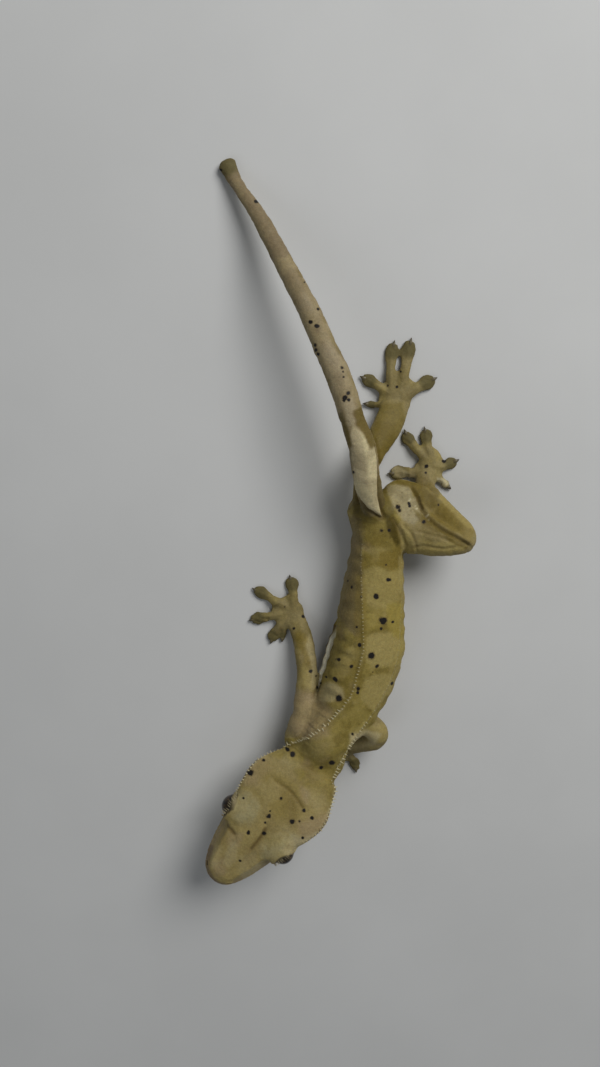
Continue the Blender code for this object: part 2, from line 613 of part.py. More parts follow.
def main():
    clear()
    animal = collection("crested_gecko")
    tools = collection("cutters")
    finishes = {name: finish(name, colour, 0.3 if name == "eye" else 0.7) for name, colour in COLOURS.items()}

    bm = bmesh.new()
    add_trunk(bm)
    add_tail(bm)
    add_limbs(bm)
    add_feet(bm)
    add_head(bm)
    for v in bm.verts:
        v.co *= MM
    bmesh.ops.recalc_face_normals(bm, faces=bm.faces)
    body = put(bm, "body", animal)

    grain = body.modifiers.new("grain", "REMESH")
    grain.mode = "VOXEL"
    grain.voxel_size = VOXEL * MM
    grain.adaptivity = 0.0
    soft = body.modifiers.new("soft", "SMOOTH")
    soft.factor = 0.5
    soft.iterations = 3
    evaluated(body, "body")
    soften(body)
    again = body.modifiers.new("again", "REMESH")
    again.mode = "VOXEL"
    again.voxel_size = VOXEL * MM
    again.adaptivity = 0.0
    evaluated(body, "body")
    count = sum(len(p.vertices) - 2 for p in body.data.polygons)
    fewer = body.modifiers.new("fewer", "DECIMATE")
    fewer.ratio = BODY_FACES / count
    evaluated(body, "body")

    # the flats it rests on, the eye sockets, the mouth and the cuts between parts
    bm = bmesh.new()
    bmesh.ops.create_cube(bm, size=1.0, matrix=Matrix.Translation((0, 0, (FLOOR - 5.0) * MM)) @ Matrix.Diagonal((0.3, 0.4, 0.010, 1.0)))
    floor = cutter(put(bm, "floor_below", tools))
    difference(body, floor)
    x, y, z = EYE_PLACE
    for side, word in ((1, "left"), (-1, "right")):
        difference(body, cutter(globe("socket_" + word, tools, in_head(x, side * y, z), EYE_RADIUS + GAP)))
    for name, one, two, height, low, high in CUTS:
        difference(body, blade(name, tools, one, two, height, low, high))
    end, level = MOUTH
    half = GAP / 2
    difference(body, head_box("mouth_slit", tools, (end - half, -13, level - half), (20, 13, level + half)))
    difference(body, head_box("mouth_end", tools, (end - half, -13, -12), (end + half, 13, level + half)))
    evaluated(body, "body")

    places = {name: (in_head(*at) if frame == "head" else seen(*at)) for name, frame, at, _ in PARTS}
    colour = {name: tint for name, _, _, tint in PARTS}
    for part in pieces(body):
        middle = np.mean([v.co for v in part.verts], axis=0) / MM
        volume = part.calc_volume() / MM**3
        name = min(places, key=lambda n: np.linalg.norm(places[n] - middle)) if places else None
        if volume < 3.0 or name is None:
            part.free()
            continue
        places.pop(name)
        o = put(part, name, animal)
        o.data.materials.append(finishes[colour[name]])
        o.data.shade_smooth()
        o.data.set_sharp_from_angle(angle=math.radians(50))
    bpy.data.objects.remove(body, do_unlink=True)
    for side, word in ((1, "left"), (-1, "right")):
        eye = globe("eye_" + word, animal, in_head(x, side * y, z), EYE_RADIUS, 18, 11)
        eye.data.materials.append(finishes["eye"])
        eye.data.shade_smooth()


if __name__ == "__main__":
    main()
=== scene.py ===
"""The looks of a life-size crested gecko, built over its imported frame.

One skin stands for all the flesh. Over it lie crest points, lashes and raised
scales, and the eyes and claws are pieces of their own. Lengths are millimetres
while shapes are made and metres once they are objects.
"""

import json
import math

import bmesh
import bpy
import numpy as np
from mathutils import Matrix, Vector
from mathutils.bvhtree import BVHTree
from mathutils.kdtree import KDTree

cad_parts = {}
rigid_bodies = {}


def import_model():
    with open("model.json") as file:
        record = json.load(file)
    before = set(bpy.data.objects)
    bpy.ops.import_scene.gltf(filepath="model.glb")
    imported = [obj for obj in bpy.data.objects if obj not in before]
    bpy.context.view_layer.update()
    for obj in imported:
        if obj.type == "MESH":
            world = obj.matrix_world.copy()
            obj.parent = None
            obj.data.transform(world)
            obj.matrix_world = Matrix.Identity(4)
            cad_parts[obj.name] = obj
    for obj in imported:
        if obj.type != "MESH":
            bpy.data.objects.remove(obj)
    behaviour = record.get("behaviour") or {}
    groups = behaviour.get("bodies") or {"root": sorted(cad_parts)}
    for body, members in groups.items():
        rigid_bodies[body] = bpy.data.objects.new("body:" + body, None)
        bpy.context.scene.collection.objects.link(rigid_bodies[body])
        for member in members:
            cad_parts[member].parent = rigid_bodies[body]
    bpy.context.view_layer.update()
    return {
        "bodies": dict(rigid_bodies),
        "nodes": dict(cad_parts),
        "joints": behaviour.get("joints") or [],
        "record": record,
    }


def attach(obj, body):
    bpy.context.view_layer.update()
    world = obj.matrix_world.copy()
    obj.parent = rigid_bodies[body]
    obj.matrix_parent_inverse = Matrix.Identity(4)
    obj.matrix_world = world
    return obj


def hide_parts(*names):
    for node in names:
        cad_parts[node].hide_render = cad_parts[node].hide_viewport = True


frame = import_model()

# ---------------------------------------------------------------- main sizes
MM = 0.001
ORIGIN = (8.6, 0.0)  # what is taken off X and Y so that the origin is central
GRAIN = 0.27  # spacing of the skin's points

# The layout sheet: places are given as (across, down, height). Across and down
# are steps on a sheet seen by an eye over the animal, tilted to the tail side.
EYE_DISTANCE = 227.0
EYE_TILT = math.radians(13.0)
EYE_STEPS = 930.0
SHEET_CENTRE = (300.0, 533.5)

# Head, in its own frame: x to the snout, y to its left, z up, from mid-eyes
HEAD_PLACE = (-10.9, -71.6, 15.0)
HEAD_YAW = math.radians(-132.4)
HEAD_PITCH = math.radians(10.0)
HEAD_ROLL = math.radians(14.0)
EYE_RADIUS = 3.05
EYE_PLACE = (-0.9, 7.9, 0.4)
BROW_PLACE = (-2.4, 5.9, 1.9)
BROW_SIZE = (5.2, 3.7, 2.5)
LID_DEPTH = 0.55  # flesh behind and round the eyeball


def seen(across, down, height):
    """The place at a height over the floor that covers a step of the sheet."""
    x = (across - SHEET_CENTRE[0]) / EYE_STEPS
    y = (SHEET_CENTRE[1] - down) / EYE_STEPS
    c, s = math.cos(EYE_TILT), math.sin(EYE_TILT)
    k = (EYE_DISTANCE * c - height) / (c + y * s)
    return np.array([k * x - ORIGIN[0], EYE_DISTANCE * s + k * (y * c - s) - ORIGIN[1], height])


def head_axes():
    cy, sy = math.cos(HEAD_YAW), math.sin(HEAD_YAW)
    cp, sp = math.cos(HEAD_PITCH), math.sin(HEAD_PITCH)
    cr, sr = math.cos(HEAD_ROLL), math.sin(HEAD_ROLL)
    forward = np.array([cy * cp, sy * cp, sp])
    left = np.array([-sy, cy, 0.0])
    up = np.cross(forward, left)
    return np.stack([forward, left * cr + up * sr, up * cr - left * sr], 1)


HEAD_AXES = head_axes()
HEAD_ZERO = np.array(HEAD_PLACE) - np.array([*ORIGIN, 0.0])


def in_head(x, y, z):
    return HEAD_ZERO + HEAD_AXES @ np.array([x, y, z], float)


# ------------------------------------------------------------- shape tables
# Trunk, from the pelvis to the neck: across, down, height, half width,
# rise, drop, roll in degrees (minus: its left side is lower)
TRUNK = (
    (379, 509, 9.0, 5.4, 5.0, 5.6, -10),
    (380, 519, 8.6, 6.5, 5.6, 6.1, -12),
    (378, 540, 8.2, 6.3, 5.8, 6.3, -15),
    (375, 575, 8.2, 7.0, 6.3, 6.9, -18),
    (371, 615, 8.4, 8.0, 6.7, 7.2, -20),
    (368.5, 652, 8.6, 8.6, 6.9, 7.4, -22),
    (355.5, 688, 9.0, 8.3, 6.7, 7.2, -18),
    (341, 716, 10.0, 6.9, 6.2, 6.8, -10),
    (327, 737, 11.6, 5.8, 5.5, 6.0, -2),
)
NECK_IN_HEAD = (  # x, z, half width, rise, drop
    (-24.0, -1.6, 6.0, 5.0, 5.6),
    (-18.0, -1.4, 7.1, 5.2, 5.8),
)
# Tail, from inside the pelvis to its tip pad: across, down, height, half width, half height
TAIL = (
    (380, 524, 9.6, 2.7, 3.0),
    (372.5, 502, 12.6, 2.9, 3.1),
    (366.5, 477, 15.2, 3.1, 3.15),
    (362, 447, 16.5, 3.05, 3.1),
    (353, 421, 16.6, 2.7, 2.8),
    (345, 395, 16.4, 2.85, 2.8),
    (336, 370, 15.6, 2.75, 2.65),
    (323.5, 344, 14.5, 2.6, 2.5),
    (313, 319, 13.4, 2.5, 2.4),
    (300, 293, 12.0, 2.35, 2.3),
    (286, 267, 10.0, 2.2, 2.15),
    (273, 242, 7.6, 2.05, 2.0),
    (258, 215, 5.0, 1.75, 1.7),
    (241, 190, 2.9, 1.45, 1.4),
    (232, 175, 1.5, 1.75, 1.35),
    (227, 164, 1.05, 2.15, 1.3),
)
# Head sections: x, top, edge y, edge z, cheek y, cheek z, jaw y, jaw z, bottom
HEAD = (
    (16.1, -1.6, 1.7, -1.9, 2.1, -3.0, 1.5, -4.2, -4.5),
    (15.4, -0.5, 2.7, -1.2, 3.4, -3.0, 2.5, -4.6, -5.1),
    (13.8, 0.6, 3.5, -0.4, 4.7, -3.0, 3.7, -5.0, -5.6),
    (11.0, 1.5, 4.3, 0.2, 6.0, -3.1, 4.8, -5.4, -6.1),
    (8.2, 2.2, 5.0, 0.7, 6.9, -3.2, 5.6, -5.8, -6.6),
    (5.0, 3.0, 5.8, 1.1, 7.7, -3.4, 6.3, -6.2, -7.0),
    (1.5, 3.9, 7.2, 1.5, 8.5, -3.6, 6.9, -6.5, -7.4),
    (-2.5, 4.4, 9.0, 2.0, 9.3, -3.4, 7.5, -6.7, -7.7),
    (-6.5, 4.6, 10.5, 2.5, 9.9, -3.0, 7.9, -6.7, -7.8),
    (-10.5, 4.7, 11.4, 2.6, 10.3, -2.6, 7.9, -6.6, -7.8),
    (-14.0, 4.6, 11.2, 2.4, 10.0, -2.4, 7.6, -6.3, -7.6),
    (-17.5, 4.3, 9.3, 2.1, 8.5, -2.2, 6.7, -5.9, -7.2),
    (-21.0, 3.9, 7.5, 1.8, 7.0, -2.0, 5.6, -5.4, -6.7),
)
# Limbs: rows of across, down, height, half width, half height
LIMBS = {
    "arm_right": (
        (328, 734, 9.6, 3.8, 4.0),
        (313, 730, 9.2, 4.0, 4.0),
        (306, 709, 8.2, 3.2, 3.2),
        (306, 690, 7.0, 2.65, 2.6),
        (307, 673, 5.8, 2.6, 2.4),
        (305.5, 655, 4.4, 2.55, 2.2),
        (302, 636, 2.9, 2.5, 1.8),
        (296, 620, 1.9, 2.7, 1.3),
    ),
    "arm_left": (
        (345, 712, 8.4, 3.6, 3.6),
        (364, 721, 9.0, 3.1, 3.2),
        (377.5, 733, 9.3, 2.7, 2.7),
        (374, 740, 7.2, 2.6, 2.5),
        (360, 744, 4.1, 2.3, 1.9),
        (347, 748, 2.2, 2.2, 1.4),
    ),
    "leg_left": (
        (385, 519, 7.8, 5.2, 4.6),
        (406, 529, 8.7, 5.7, 4.3),
        (428, 536, 10.2, 4.7, 3.9),
        (450, 541, 12.0, 3.5, 3.2),
        (465, 542, 12.8, 2.5, 2.5),
        (463, 532, 11.6, 2.7, 2.6),
        (445, 515, 8.6, 2.9, 2.6),
        (431, 499, 5.4, 2.8, 2.1),
        (425, 486, 3.2, 2.5, 1.6),
        (429, 473, 1.9, 2.7, 1.2),
    ),
    "leg_right": (
        (379, 522, 7.4, 4.4, 4.2),
        (369, 510, 7.6, 4.0, 3.8),
        (366, 487, 6.7, 3.1, 2.8),
        (367, 466, 6.7, 2.8, 2.6),
        (374, 450, 6.2, 3.0, 2.5),
        (382, 436, 5.0, 3.3, 2.3),
        (390, 420, 3.4, 3.5, 1.8),
        (396, 405, 2.1, 3.3, 1.3),
    ),
}
# Palms: centre across, down, half length, half width, turn in degrees
PALMS = {
    "arm_right": (292, 613, 3.4, 3.2, 80),
    "arm_left": (341, 751, 3.1, 2.9, 190),
    "leg_left": (431, 465, 4.4, 3.1, 95),
    "leg_right": (397, 399, 4.5, 3.5, 85),
}
# Toes: start, bend, pad middle, claw tip, each across and down, then pad half width
TOES = {
    "arm_right": (
        ((293, 606), (293.5, 596), (291.8, 583.5), (288.8, 572.5), 1.85),
        ((287, 607), (274, 600), (260.5, 592.5), (249, 586.5), 1.75),
        ((285, 613), (273, 615.5), (258, 618), (245, 621.3), 1.75),
        ((286, 618), (280, 625), (273.5, 635), (269, 647.5), 1.6),
        ((288, 619), (285, 627), (283, 634.5), (281.5, 643.5), 1.05),
    ),
    "arm_left": (
        ((344, 752), (350, 756), (354.6, 763), (357.4, 778), 1.65),
        ((339, 756), (333, 766), (328, 777), (324, 787), 1.6),
        ((336, 755), (324, 762), (315, 771), (308, 779), 1.6),
        ((335, 751), (323, 752), (312, 755), (302, 757), 1.55),
        ((337, 746), (328, 741), (320, 740), (313, 742), 1.3),
    ),
    "leg_left": (
        ((426, 458), (416.5, 449), (407.5, 438), (403, 426.5), 1.7),
        ((430, 456), (427.5, 447.5), (426, 436), (423.5, 423.5), 1.8),
        ((435, 466), (442, 467), (450.5, 463.3), (462, 458.2), 1.75),
        ((434, 471), (440, 478), (445.5, 484.5), (451.5, 489.5), 1.1),
        ((423, 472), (411, 473), (398, 473), (382.5, 474), 1.95),
    ),
    "leg_right": (
        ((391, 391), (390.5, 374), (391.5, 352), (396.3, 334.5), 1.8),
        ((400, 391), (404.5, 373), (408.5, 350), (413.2, 331), 1.95),
        ((403, 397), (415, 389), (427.5, 382), (441.5, 375.5), 2.0),
        ((390, 394), (380, 387), (369, 380.5), (356, 374.5), 1.85),
        ((389, 401), (380, 405), (371, 404.5), (361.5, 403.5), 1.1),
    ),
}
CLAW_THICKNESS = 0.36
# Where flesh runs smoothly from one part to the next: across, down, height, reach
JOINS = (
    (306, 722, 9, 7),
    (322, 722, 9, 7),
    (352, 716, 9, 7),
    (330, 738, 11, 7),
    (312, 757, 12, 7),
    (398, 505, 8, 10),
    (400, 540, 8, 8),
    (425, 512, 8, 8),
    (366, 505, 8, 7),
    (378, 500, 11, 6),
    (395, 412, 3, 4),
    (428, 482, 3, 4),
    (298, 622, 3, 4),
    (350, 747, 3, 4),
)


# ----------------------------------------------------------------- geometry
def run(rows, steps):
    """Rows of numbers along a smooth curve through the given rows, which are spaced by their first three."""
    rows = np.array(rows, float)
    t = np.concatenate([[0.0], np.cumsum(np.linalg.norm(np.diff(rows[:, :3], axis=0), axis=1))])
    slope = np.empty_like(rows)
    slope[1:-1] = (rows[2:] - rows[:-2]) / (t[2:] - t[:-2])[:, None]
    slope[0] = (rows[1] - rows[0]) / (t[1] - t[0])
    slope[-1] = (rows[-1] - rows[-2]) / (t[-1] - t[-2])
    out = []
    for i in range(len(rows) - 1):
        h = t[i + 1] - t[i]
        for k in range(steps):
            s = k / steps
            a, b = 2 * s**3 - 3 * s**2 + 1, s**3 - 2 * s**2 + s
            c, d = -2 * s**3 + 3 * s**2, s**3 - s**2
            out.append(a * rows[i] + b * h * slope[i] + c * rows[i + 1] + d * h * slope[i + 1])
    out.append(rows[-1])
    return np.array(out)


def loft(bm, rings):
    """A closed skin over rings of points, with a rounded fan at each end."""
    made = [[bm.verts.new(p) for p in ring] for ring in rings]
    count = len(made[0])
    for a, b in zip(made, made[1:]):
        for i in range(count):
            j = (i + 1) % count
            bm.faces.new((a[i], a[j], b[j], b[i]))
    for ring, flip in ((made[0], False), (made[-1], True)):
        middle = bm.verts.new(sum((v.co for v in ring), Vector()) / count)
        for i in range(count):
            j = (i + 1) % count
            bm.faces.new((middle, ring[j], ring[i]) if not flip else (middle, ring[i], ring[j]))


def oval_rings(rows, sides=22, power=2.0, hint=(0, 0, 1), cap=0.8):
    """Rings of ovals along rows of x, y, z, half width, rise, drop and roll, with rounded ends."""
    rows = np.array(rows, float)
    middle = rows[:, :3]
    along = np.gradient(middle, axis=0)
    along /= np.linalg.norm(along, axis=1)[:, None]
    hint = np.array(hint, float)
    turn = np.linspace(0, 2 * math.pi, sides, endpoint=False)
    c, s = np.cos(turn), np.sin(turn)
    ex, ey = np.sign(c) * np.abs(c) ** (2 / power), np.sign(s) * np.abs(s) ** (2 / power)

    def ring(i, shift, scale):
        t = along[i]
        side = np.cross(hint, t)
        side /= np.linalg.norm(side)
        up = np.cross(t, side)
        w, rise, drop, roll = rows[i, 3:7]
        r = math.radians(roll)
        side, up = side * math.cos(r) + up * math.sin(r), up * math.cos(r) - side * math.sin(r)
        at = middle[i] + t * shift
        tall = np.where(ey > 0, rise, drop) * ey
        return [at + (side * w * ex[k] + up * tall[k]) * scale for k in range(sides)]

    rings = []
    small = cap * min(rows[0, 3:6])
    for a in (75, 50, 25):
        rings.append(ring(0, -small * math.sin(math.radians(a)), math.cos(math.radians(a))))
    rings += [ring(i, 0.0, 1.0) for i in range(len(rows))]
    small = cap * min(rows[-1, 3:6])
    for a in (25, 50, 75):
        rings.append(ring(len(rows) - 1, small * math.sin(math.radians(a)), math.cos(math.radians(a))))
    return rings


def tube(bm, rows, steps=5, **more):
    loft(bm, oval_rings(run(rows, steps), **more))


def ball(bm, centre, size, axes=None, finer=1):
    """An ellipsoid at a place, with its half sizes along three axes."""
    frame = Matrix.Identity(3) if axes is None else Matrix(np.array(axes).tolist())
    place = Matrix.Translation(Vector(centre)) @ frame.to_4x4() @ Matrix.Diagonal((*size, 1.0))
    bmesh.ops.create_uvsphere(bm, u_segments=20 * finer, v_segments=12 * finer, radius=1.0, matrix=place)


def head_ring(row):
    """One section of the head, from a row of its table, as a smooth closed ring."""
    x, top, ey, ez, cy, cz, jy, jz, bottom = row
    half = [(0.0, top), (0.55 * ey, top - 0.12 * (top - ez)), (ey, ez), (cy, cz), (jy, jz), (0.5 * jy, bottom + 0.15), (0.0, bottom)]
    whole = half + [(-y, z) for y, z in half[-2:0:-1]]
    pts = np.array(whole)
    n = len(pts)
    ring = []
    for i in range(n):
        p0, p1, p2, p3 = pts[i - 1], pts[i], pts[(i + 1) % n], pts[(i + 2) % n]
        for k in range(4):
            s = k / 4
            q = 0.5 * (2 * p1 + (p2 - p0) * s + (2 * p0 - 5 * p1 + 4 * p2 - p3) * s * s + (3 * p1 - p0 - 3 * p2 + p3) * s**3)
            ring.append(in_head(x, q[0], q[1]))
    return ring


def add_head(bm):
    rows = np.array(HEAD)
    fine = []
    for a, b in zip(rows, rows[1:]):
        fine += [a + (b - a) * k / 3 for k in range(3)]
    fine.append(rows[-1])
    fine = np.array(fine)
    smooth = fine.copy()
    smooth[1:-1] = 0.25 * fine[:-2] + 0.5 * fine[1:-1] + 0.25 * fine[2:]
    rings = [head_ring(r) for r in smooth]
    # the blunt front of the snout and the rounded rear, drawn in towards their middles
    front, rear = np.mean(rings[0], 0), np.mean(rings[-1], 0)
    ahead = HEAD_AXES[:, 0]
    first = [front + (np.array(p) - front) * 0.6 + ahead * 0.4 for p in rings[0]]
    last = [rear + (np.array(p) - rear) * 0.6 - ahead * 1.5 for p in rings[-1]]
    loft(bm, [last, *rings[::-1], first])
    for side in (1, -1):
        x, y, z = BROW_PLACE
        ball(bm, in_head(x, side * y, z), BROW_SIZE, HEAD_AXES)
        # the jaw muscle behind the eye, and the lid's rim round the eye
        ball(bm, in_head(-10.0, side * 6.6, -2.2), (6.2, 3.6, 4.2), HEAD_AXES)
        x, y, z = EYE_PLACE
        ball(bm, in_head(x, side * (y - 1.0), z), (EYE_RADIUS + LID_DEPTH, EYE_RADIUS, EYE_RADIUS + LID_DEPTH), HEAD_AXES)
    # the ridge down the snout
    loft(bm, oval_rings(run([(*in_head(3.0, 0, 1.6), 1.5, 1.2, 1.2, 0), (*in_head(8.0, 0, 1.1), 1.3, 1.0, 1.0, 0), (*in_head(12.4, 0, 0.1), 1.1, 0.8, 0.8, 0)], 4), sides=14))


def add_trunk(bm):
    rows = [(*seen(u, v, z), w, rise, drop, roll) for u, v, z, w, rise, drop, roll in TRUNK]
    turn = math.degrees(HEAD_ROLL)
    rows += [(*in_head(x, 0, z), w, rise, drop, turn * k) for (x, z, w, rise, drop), k in zip(NECK_IN_HEAD, (0.5, 1.0))]
    tube(bm, rows, steps=6, sides=30, power=2.25)


def add_tail(bm):
    tube(bm, [(*seen(u, v, z), w, h, h, 0) for u, v, z, w, h in TAIL], steps=5, sides=20)


def add_limbs(bm):
    for name, table in LIMBS.items():
        tube(bm, [(*seen(u, v, z), w, h, h, 0) for u, v, z, w, h in table], steps=5, sides=18)
    # muscle and loose skin at the shoulders and the hips, and the skin between the left thigh and shank
    ball(bm, seen(304, 727, 8.6), (4.2, 4.7, 4.4))
    ball(bm, seen(297, 737, 8.8), (3.3, 3.5, 3.4))
    ball(bm, seen(322, 718, 8.8), (5.0, 5.6, 4.9))
    ball(bm, seen(352, 712, 8.6), (4.8, 5.0, 4.6))
    ball(bm, seen(392, 518, 7.8), (5.0, 5.0, 4.8))
    ball(bm, seen(400, 500, 7.4), (4.6, 5.2, 3.4))
    ball(bm, seen(366, 514, 7.6), (4.4, 5.2, 4.6))
    web = [(*seen(406, 496, 7.0), 3.8, 2.0, 2.0, 0), (*seen(422, 504, 7.4), 4.2, 1.5, 1.5, 0), (*seen(444, 522, 9.4), 3.4, 1.3, 1.3, 0)]
    tube(bm, web, steps=4, sides=14)
    # the fold of loose skin low on the right flank
    fold = [(*seen(321, 694, 6.0), 0.9, 1.0, 1.0, 0), (*seen(325.5, 672, 5.2), 1.4, 1.1, 1.1, 0), (*seen(333.5, 642, 5.2), 1.3, 1.1, 1.1, 0), (*seen(345, 606, 5.6), 0.9, 1.0, 1.0, 0)]
    tube(bm, fold, steps=4, sides=12)


def add_feet(bm):
    for name, (u, v, long, wide, turn) in PALMS.items():
        a = math.radians(turn)
        axes = np.array([[math.cos(a), -math.sin(a), 0], [math.sin(a), math.cos(a), 0], [0, 0, 1]])
        ball(bm, seen(u, v, 1.15), (long, wide, 1.35), axes)
        toes = TOES[name]
        for one, two in zip(toes[:-1], toes[1:]):
            a, b, c, d = seen(*one[0], 1.0), seen(*one[1], 1.0), seen(*two[0], 1.0), seen(*two[1], 1.0)
            root, ends = (a + c) / 2, (b + d) / 2
            out = (ends - root)[:2]
            reach = float(np.hypot(*out))
            if np.linalg.norm(b - d) > 9.0 or reach < 0.6:
                continue
            out /= reach
            frame = np.array([[out[0], -out[1], 0], [out[1], out[0], 0], [0, 0, 1]])
            web = 0.35 if reach < 8.5 else 0.55
            ball(bm, root + (ends - root) * web, (0.85 * reach, 0.5 * float(np.linalg.norm(b - d)) + 0.5, 0.62), frame)
        for start, bend, pad, claw, wide in toes:
            p0, p1, p2, p3 = seen(*start, 1.3), seen(*bend, 1.45), seen(*pad, 0.55), seen(*claw, 0.55)
            neck = p1 + (p2 - p1) * 0.45 + np.array([0, 0, -0.05])
            tip = p2 + (p3 - p2) * 0.42
            toe = [
                (*p0, 0.85 * wide, 1.0, 1.0, 0),
                (*p1, 0.66 * wide, 0.8, 0.85, 0),
                (*neck, 0.72 * wide, 0.62, 0.7, 0),
                (*p2, wide, 0.58, 0.7, 0),
                (*tip, 0.66 * wide, 0.5, 0.6, 0),
            ]
            tube(bm, toe, steps=4, sides=14)


# ------------------------------------------------------------------ objects
def put(bm, name):
    me = bpy.data.meshes.new(name)
    bm.to_mesh(me)
    bm.free()
    o = bpy.data.objects.new(name, me)
    bpy.context.scene.collection.objects.link(o)
    return o


def evaluated(o):
    """The object with its modifiers worked into its mesh."""
    bpy.context.view_layer.update()
    me = bpy.data.meshes.new_from_object(o.evaluated_get(bpy.context.evaluated_depsgraph_get()))
    o.modifiers.clear()
    old, o.data = o.data, me
    bpy.data.meshes.remove(old)
    me.name = o.name


def remesh(o, size):
    m = o.modifiers.new("grain", "REMESH")
    m.mode = "VOXEL"
    m.voxel_size = size
    m.adaptivity = 0.0


def smooth(o, times, factor=0.5, group=""):
    m = o.modifiers.new("smooth", "SMOOTH")
    m.factor = factor
    m.iterations = times
    m.vertex_group = group


def points(o):
    co = np.empty(len(o.data.vertices) * 3, np.float32)
    o.data.vertices.foreach_get("co", co)
    return co.reshape(-1, 3).astype(float)


def normals(o):
    n = np.empty(len(o.data.vertices) * 3, np.float32)
    o.data.vertex_normals.foreach_get("vector", n)
    return n.reshape(-1, 3).astype(float)


def set_points(o, co):
    o.data.vertices.foreach_set("co", co.astype(np.float32).ravel())
    o.data.update()


# ------------------------------------------------------------- number fields
def lattice(i, seed):
    n = (i[..., 0] * 73856093) ^ (i[..., 1] * 19349663) ^ (i[..., 2] * 83492791) ^ (seed * 668265263)
    n = (n ^ (n >> 13)) * 1274126177
    n = n ^ (n >> 16)
    return (n & 0xFFFF) / 32767.5 - 1.0


def noise(p, size, seed=0):
    """Smooth noise from -1 to 1 whose waves are about a size long."""
    q = p / size
    i = np.floor(q).astype(np.int64)
    f = q - i
    f = f * f * (3 - 2 * f)
    total = 0.0
    for dx in (0, 1):
        for dy in (0, 1):
            for dz in (0, 1):
                w = (f[:, 0] if dx else 1 - f[:, 0]) * (f[:, 1] if dy else 1 - f[:, 1]) * (f[:, 2] if dz else 1 - f[:, 2])
                total = total + w * lattice(i + np.array([dx, dy, dz]), seed)
    return total


def layered(p, size, seed=0, octaves=3):
    total, scale = 0.0, 1.0
    for k in range(octaves):
        total = total + noise(p, size * 0.5**k, seed + k) * scale
        scale *= 0.5
    return total / (2 - 0.5 ** (octaves - 1))


def step(a, b, x):
    """0 at a and 1 at b, eased at both ends."""
    t = np.clip((x - a) / (b - a), 0.0, 1.0)
    return t * t * (3 - 2 * t)


def bell(d, width):
    return np.exp(-((d / width) ** 2))


def to_line(p, line):
    """How far points are from a bent line, and how far along it the nearest place is (0 to 1)."""
    line = np.array(line, float)
    best = np.full(len(p), 1e9)
    where = np.zeros(len(p))
    long = np.concatenate([[0.0], np.cumsum(np.linalg.norm(np.diff(line, axis=0), axis=1))])
    for k in range(len(line) - 1):
        a, ab = line[k], line[k + 1] - line[k]
        t = np.clip(((p - a) @ ab) / max(ab @ ab, 1e-9), 0.0, 1.0)
        d = np.linalg.norm(p - (a + t[:, None] * ab), axis=1)
        near = d < best
        best[near] = d[near]
        where[near] = (long[k] + t[near] * (long[k + 1] - long[k])) / long[-1]
    return best, where


class Run:
    """A tube's middle line with its frames, to tell where on the tube a place lies."""

    def __init__(self, rows, steps):
        rows = run(rows, steps)
        self.c = rows[:, :3]
        t = np.gradient(self.c, axis=0)
        self.t = t / np.linalg.norm(t, axis=1)[:, None]
        side = np.cross(np.array([0, 0, 1.0]), self.t)
        side /= np.linalg.norm(side, axis=1)[:, None]
        up = np.cross(self.t, side)
        r = np.radians(rows[:, 6])[:, None]
        self.side, self.up = side * np.cos(r) + up * np.sin(r), up * np.cos(r) - side * np.sin(r)
        self.w, self.rise, self.drop = rows[:, 3], rows[:, 4], rows[:, 5]
        self.s = np.concatenate([[0.0], np.cumsum(np.linalg.norm(np.diff(self.c, axis=0), axis=1))])

    def at(self, p):
        """Along, across (-1 to 1, its own -x side first), height (-1 to 1) and distance in radii, for each point."""
        size = (self.w + 0.5 * (self.rise + self.drop)) / 2
        out = np.empty((len(p), 4))
        for k in range(0, len(p), 20000):
            q = p[k : k + 20000]
            d = ((q[:, None, :] - self.c[None]) ** 2).sum(2) / size[None] ** 2
            i = d.argmin(1)
            v = q - self.c[i]
            a = (v * self.side[i]).sum(1) / self.w[i]
            h = (v * self.up[i]).sum(1)
            b = np.where(h > 0, h / self.rise[i], h / self.drop[i])
            out[k : k + 20000] = np.stack([self.s[i] + (v * self.t[i]).sum(1), a, b, np.sqrt(d[np.arange(len(q)), i])], 1)
        return out


def rows_of(table):
    return [(*seen(u, v, z), w, h, h, 0) for u, v, z, w, h in table]


def trunk_rows():
    rows = [(*seen(u, v, z), w, rise, drop, roll) for u, v, z, w, rise, drop, roll in TRUNK]
    turn = math.degrees(HEAD_ROLL)
    return rows + [(*in_head(x, 0, z), w, rise, drop, turn * k) for (x, z, w, rise, drop), k in zip(NECK_IN_HEAD, (0.5, 1.0))]


RUNS = {"trunk": Run(trunk_rows(), 6), "tail": Run(rows_of(TAIL), 5)}
RUNS.update({name: Run(rows_of(table), 5) for name, table in LIMBS.items()})
EYE_OVER = np.array([-ORIGIN[0], EYE_DISTANCE * math.sin(EYE_TILT), EYE_DISTANCE * math.cos(EYE_TILT)])


def on_sheet(p):
    """Across and down: where on the sheet the eye over the animal sees each place."""
    d = p - EYE_OVER
    c, t = math.cos(EYE_TILT), math.sin(EYE_TILT)
    deep = -(d[:, 1] * t + d[:, 2] * c)
    return np.stack([SHEET_CENTRE[0] + EYE_STEPS * d[:, 0] / deep, SHEET_CENTRE[1] - EYE_STEPS * (d[:, 1] * c - d[:, 2] * t) / deep], 1)


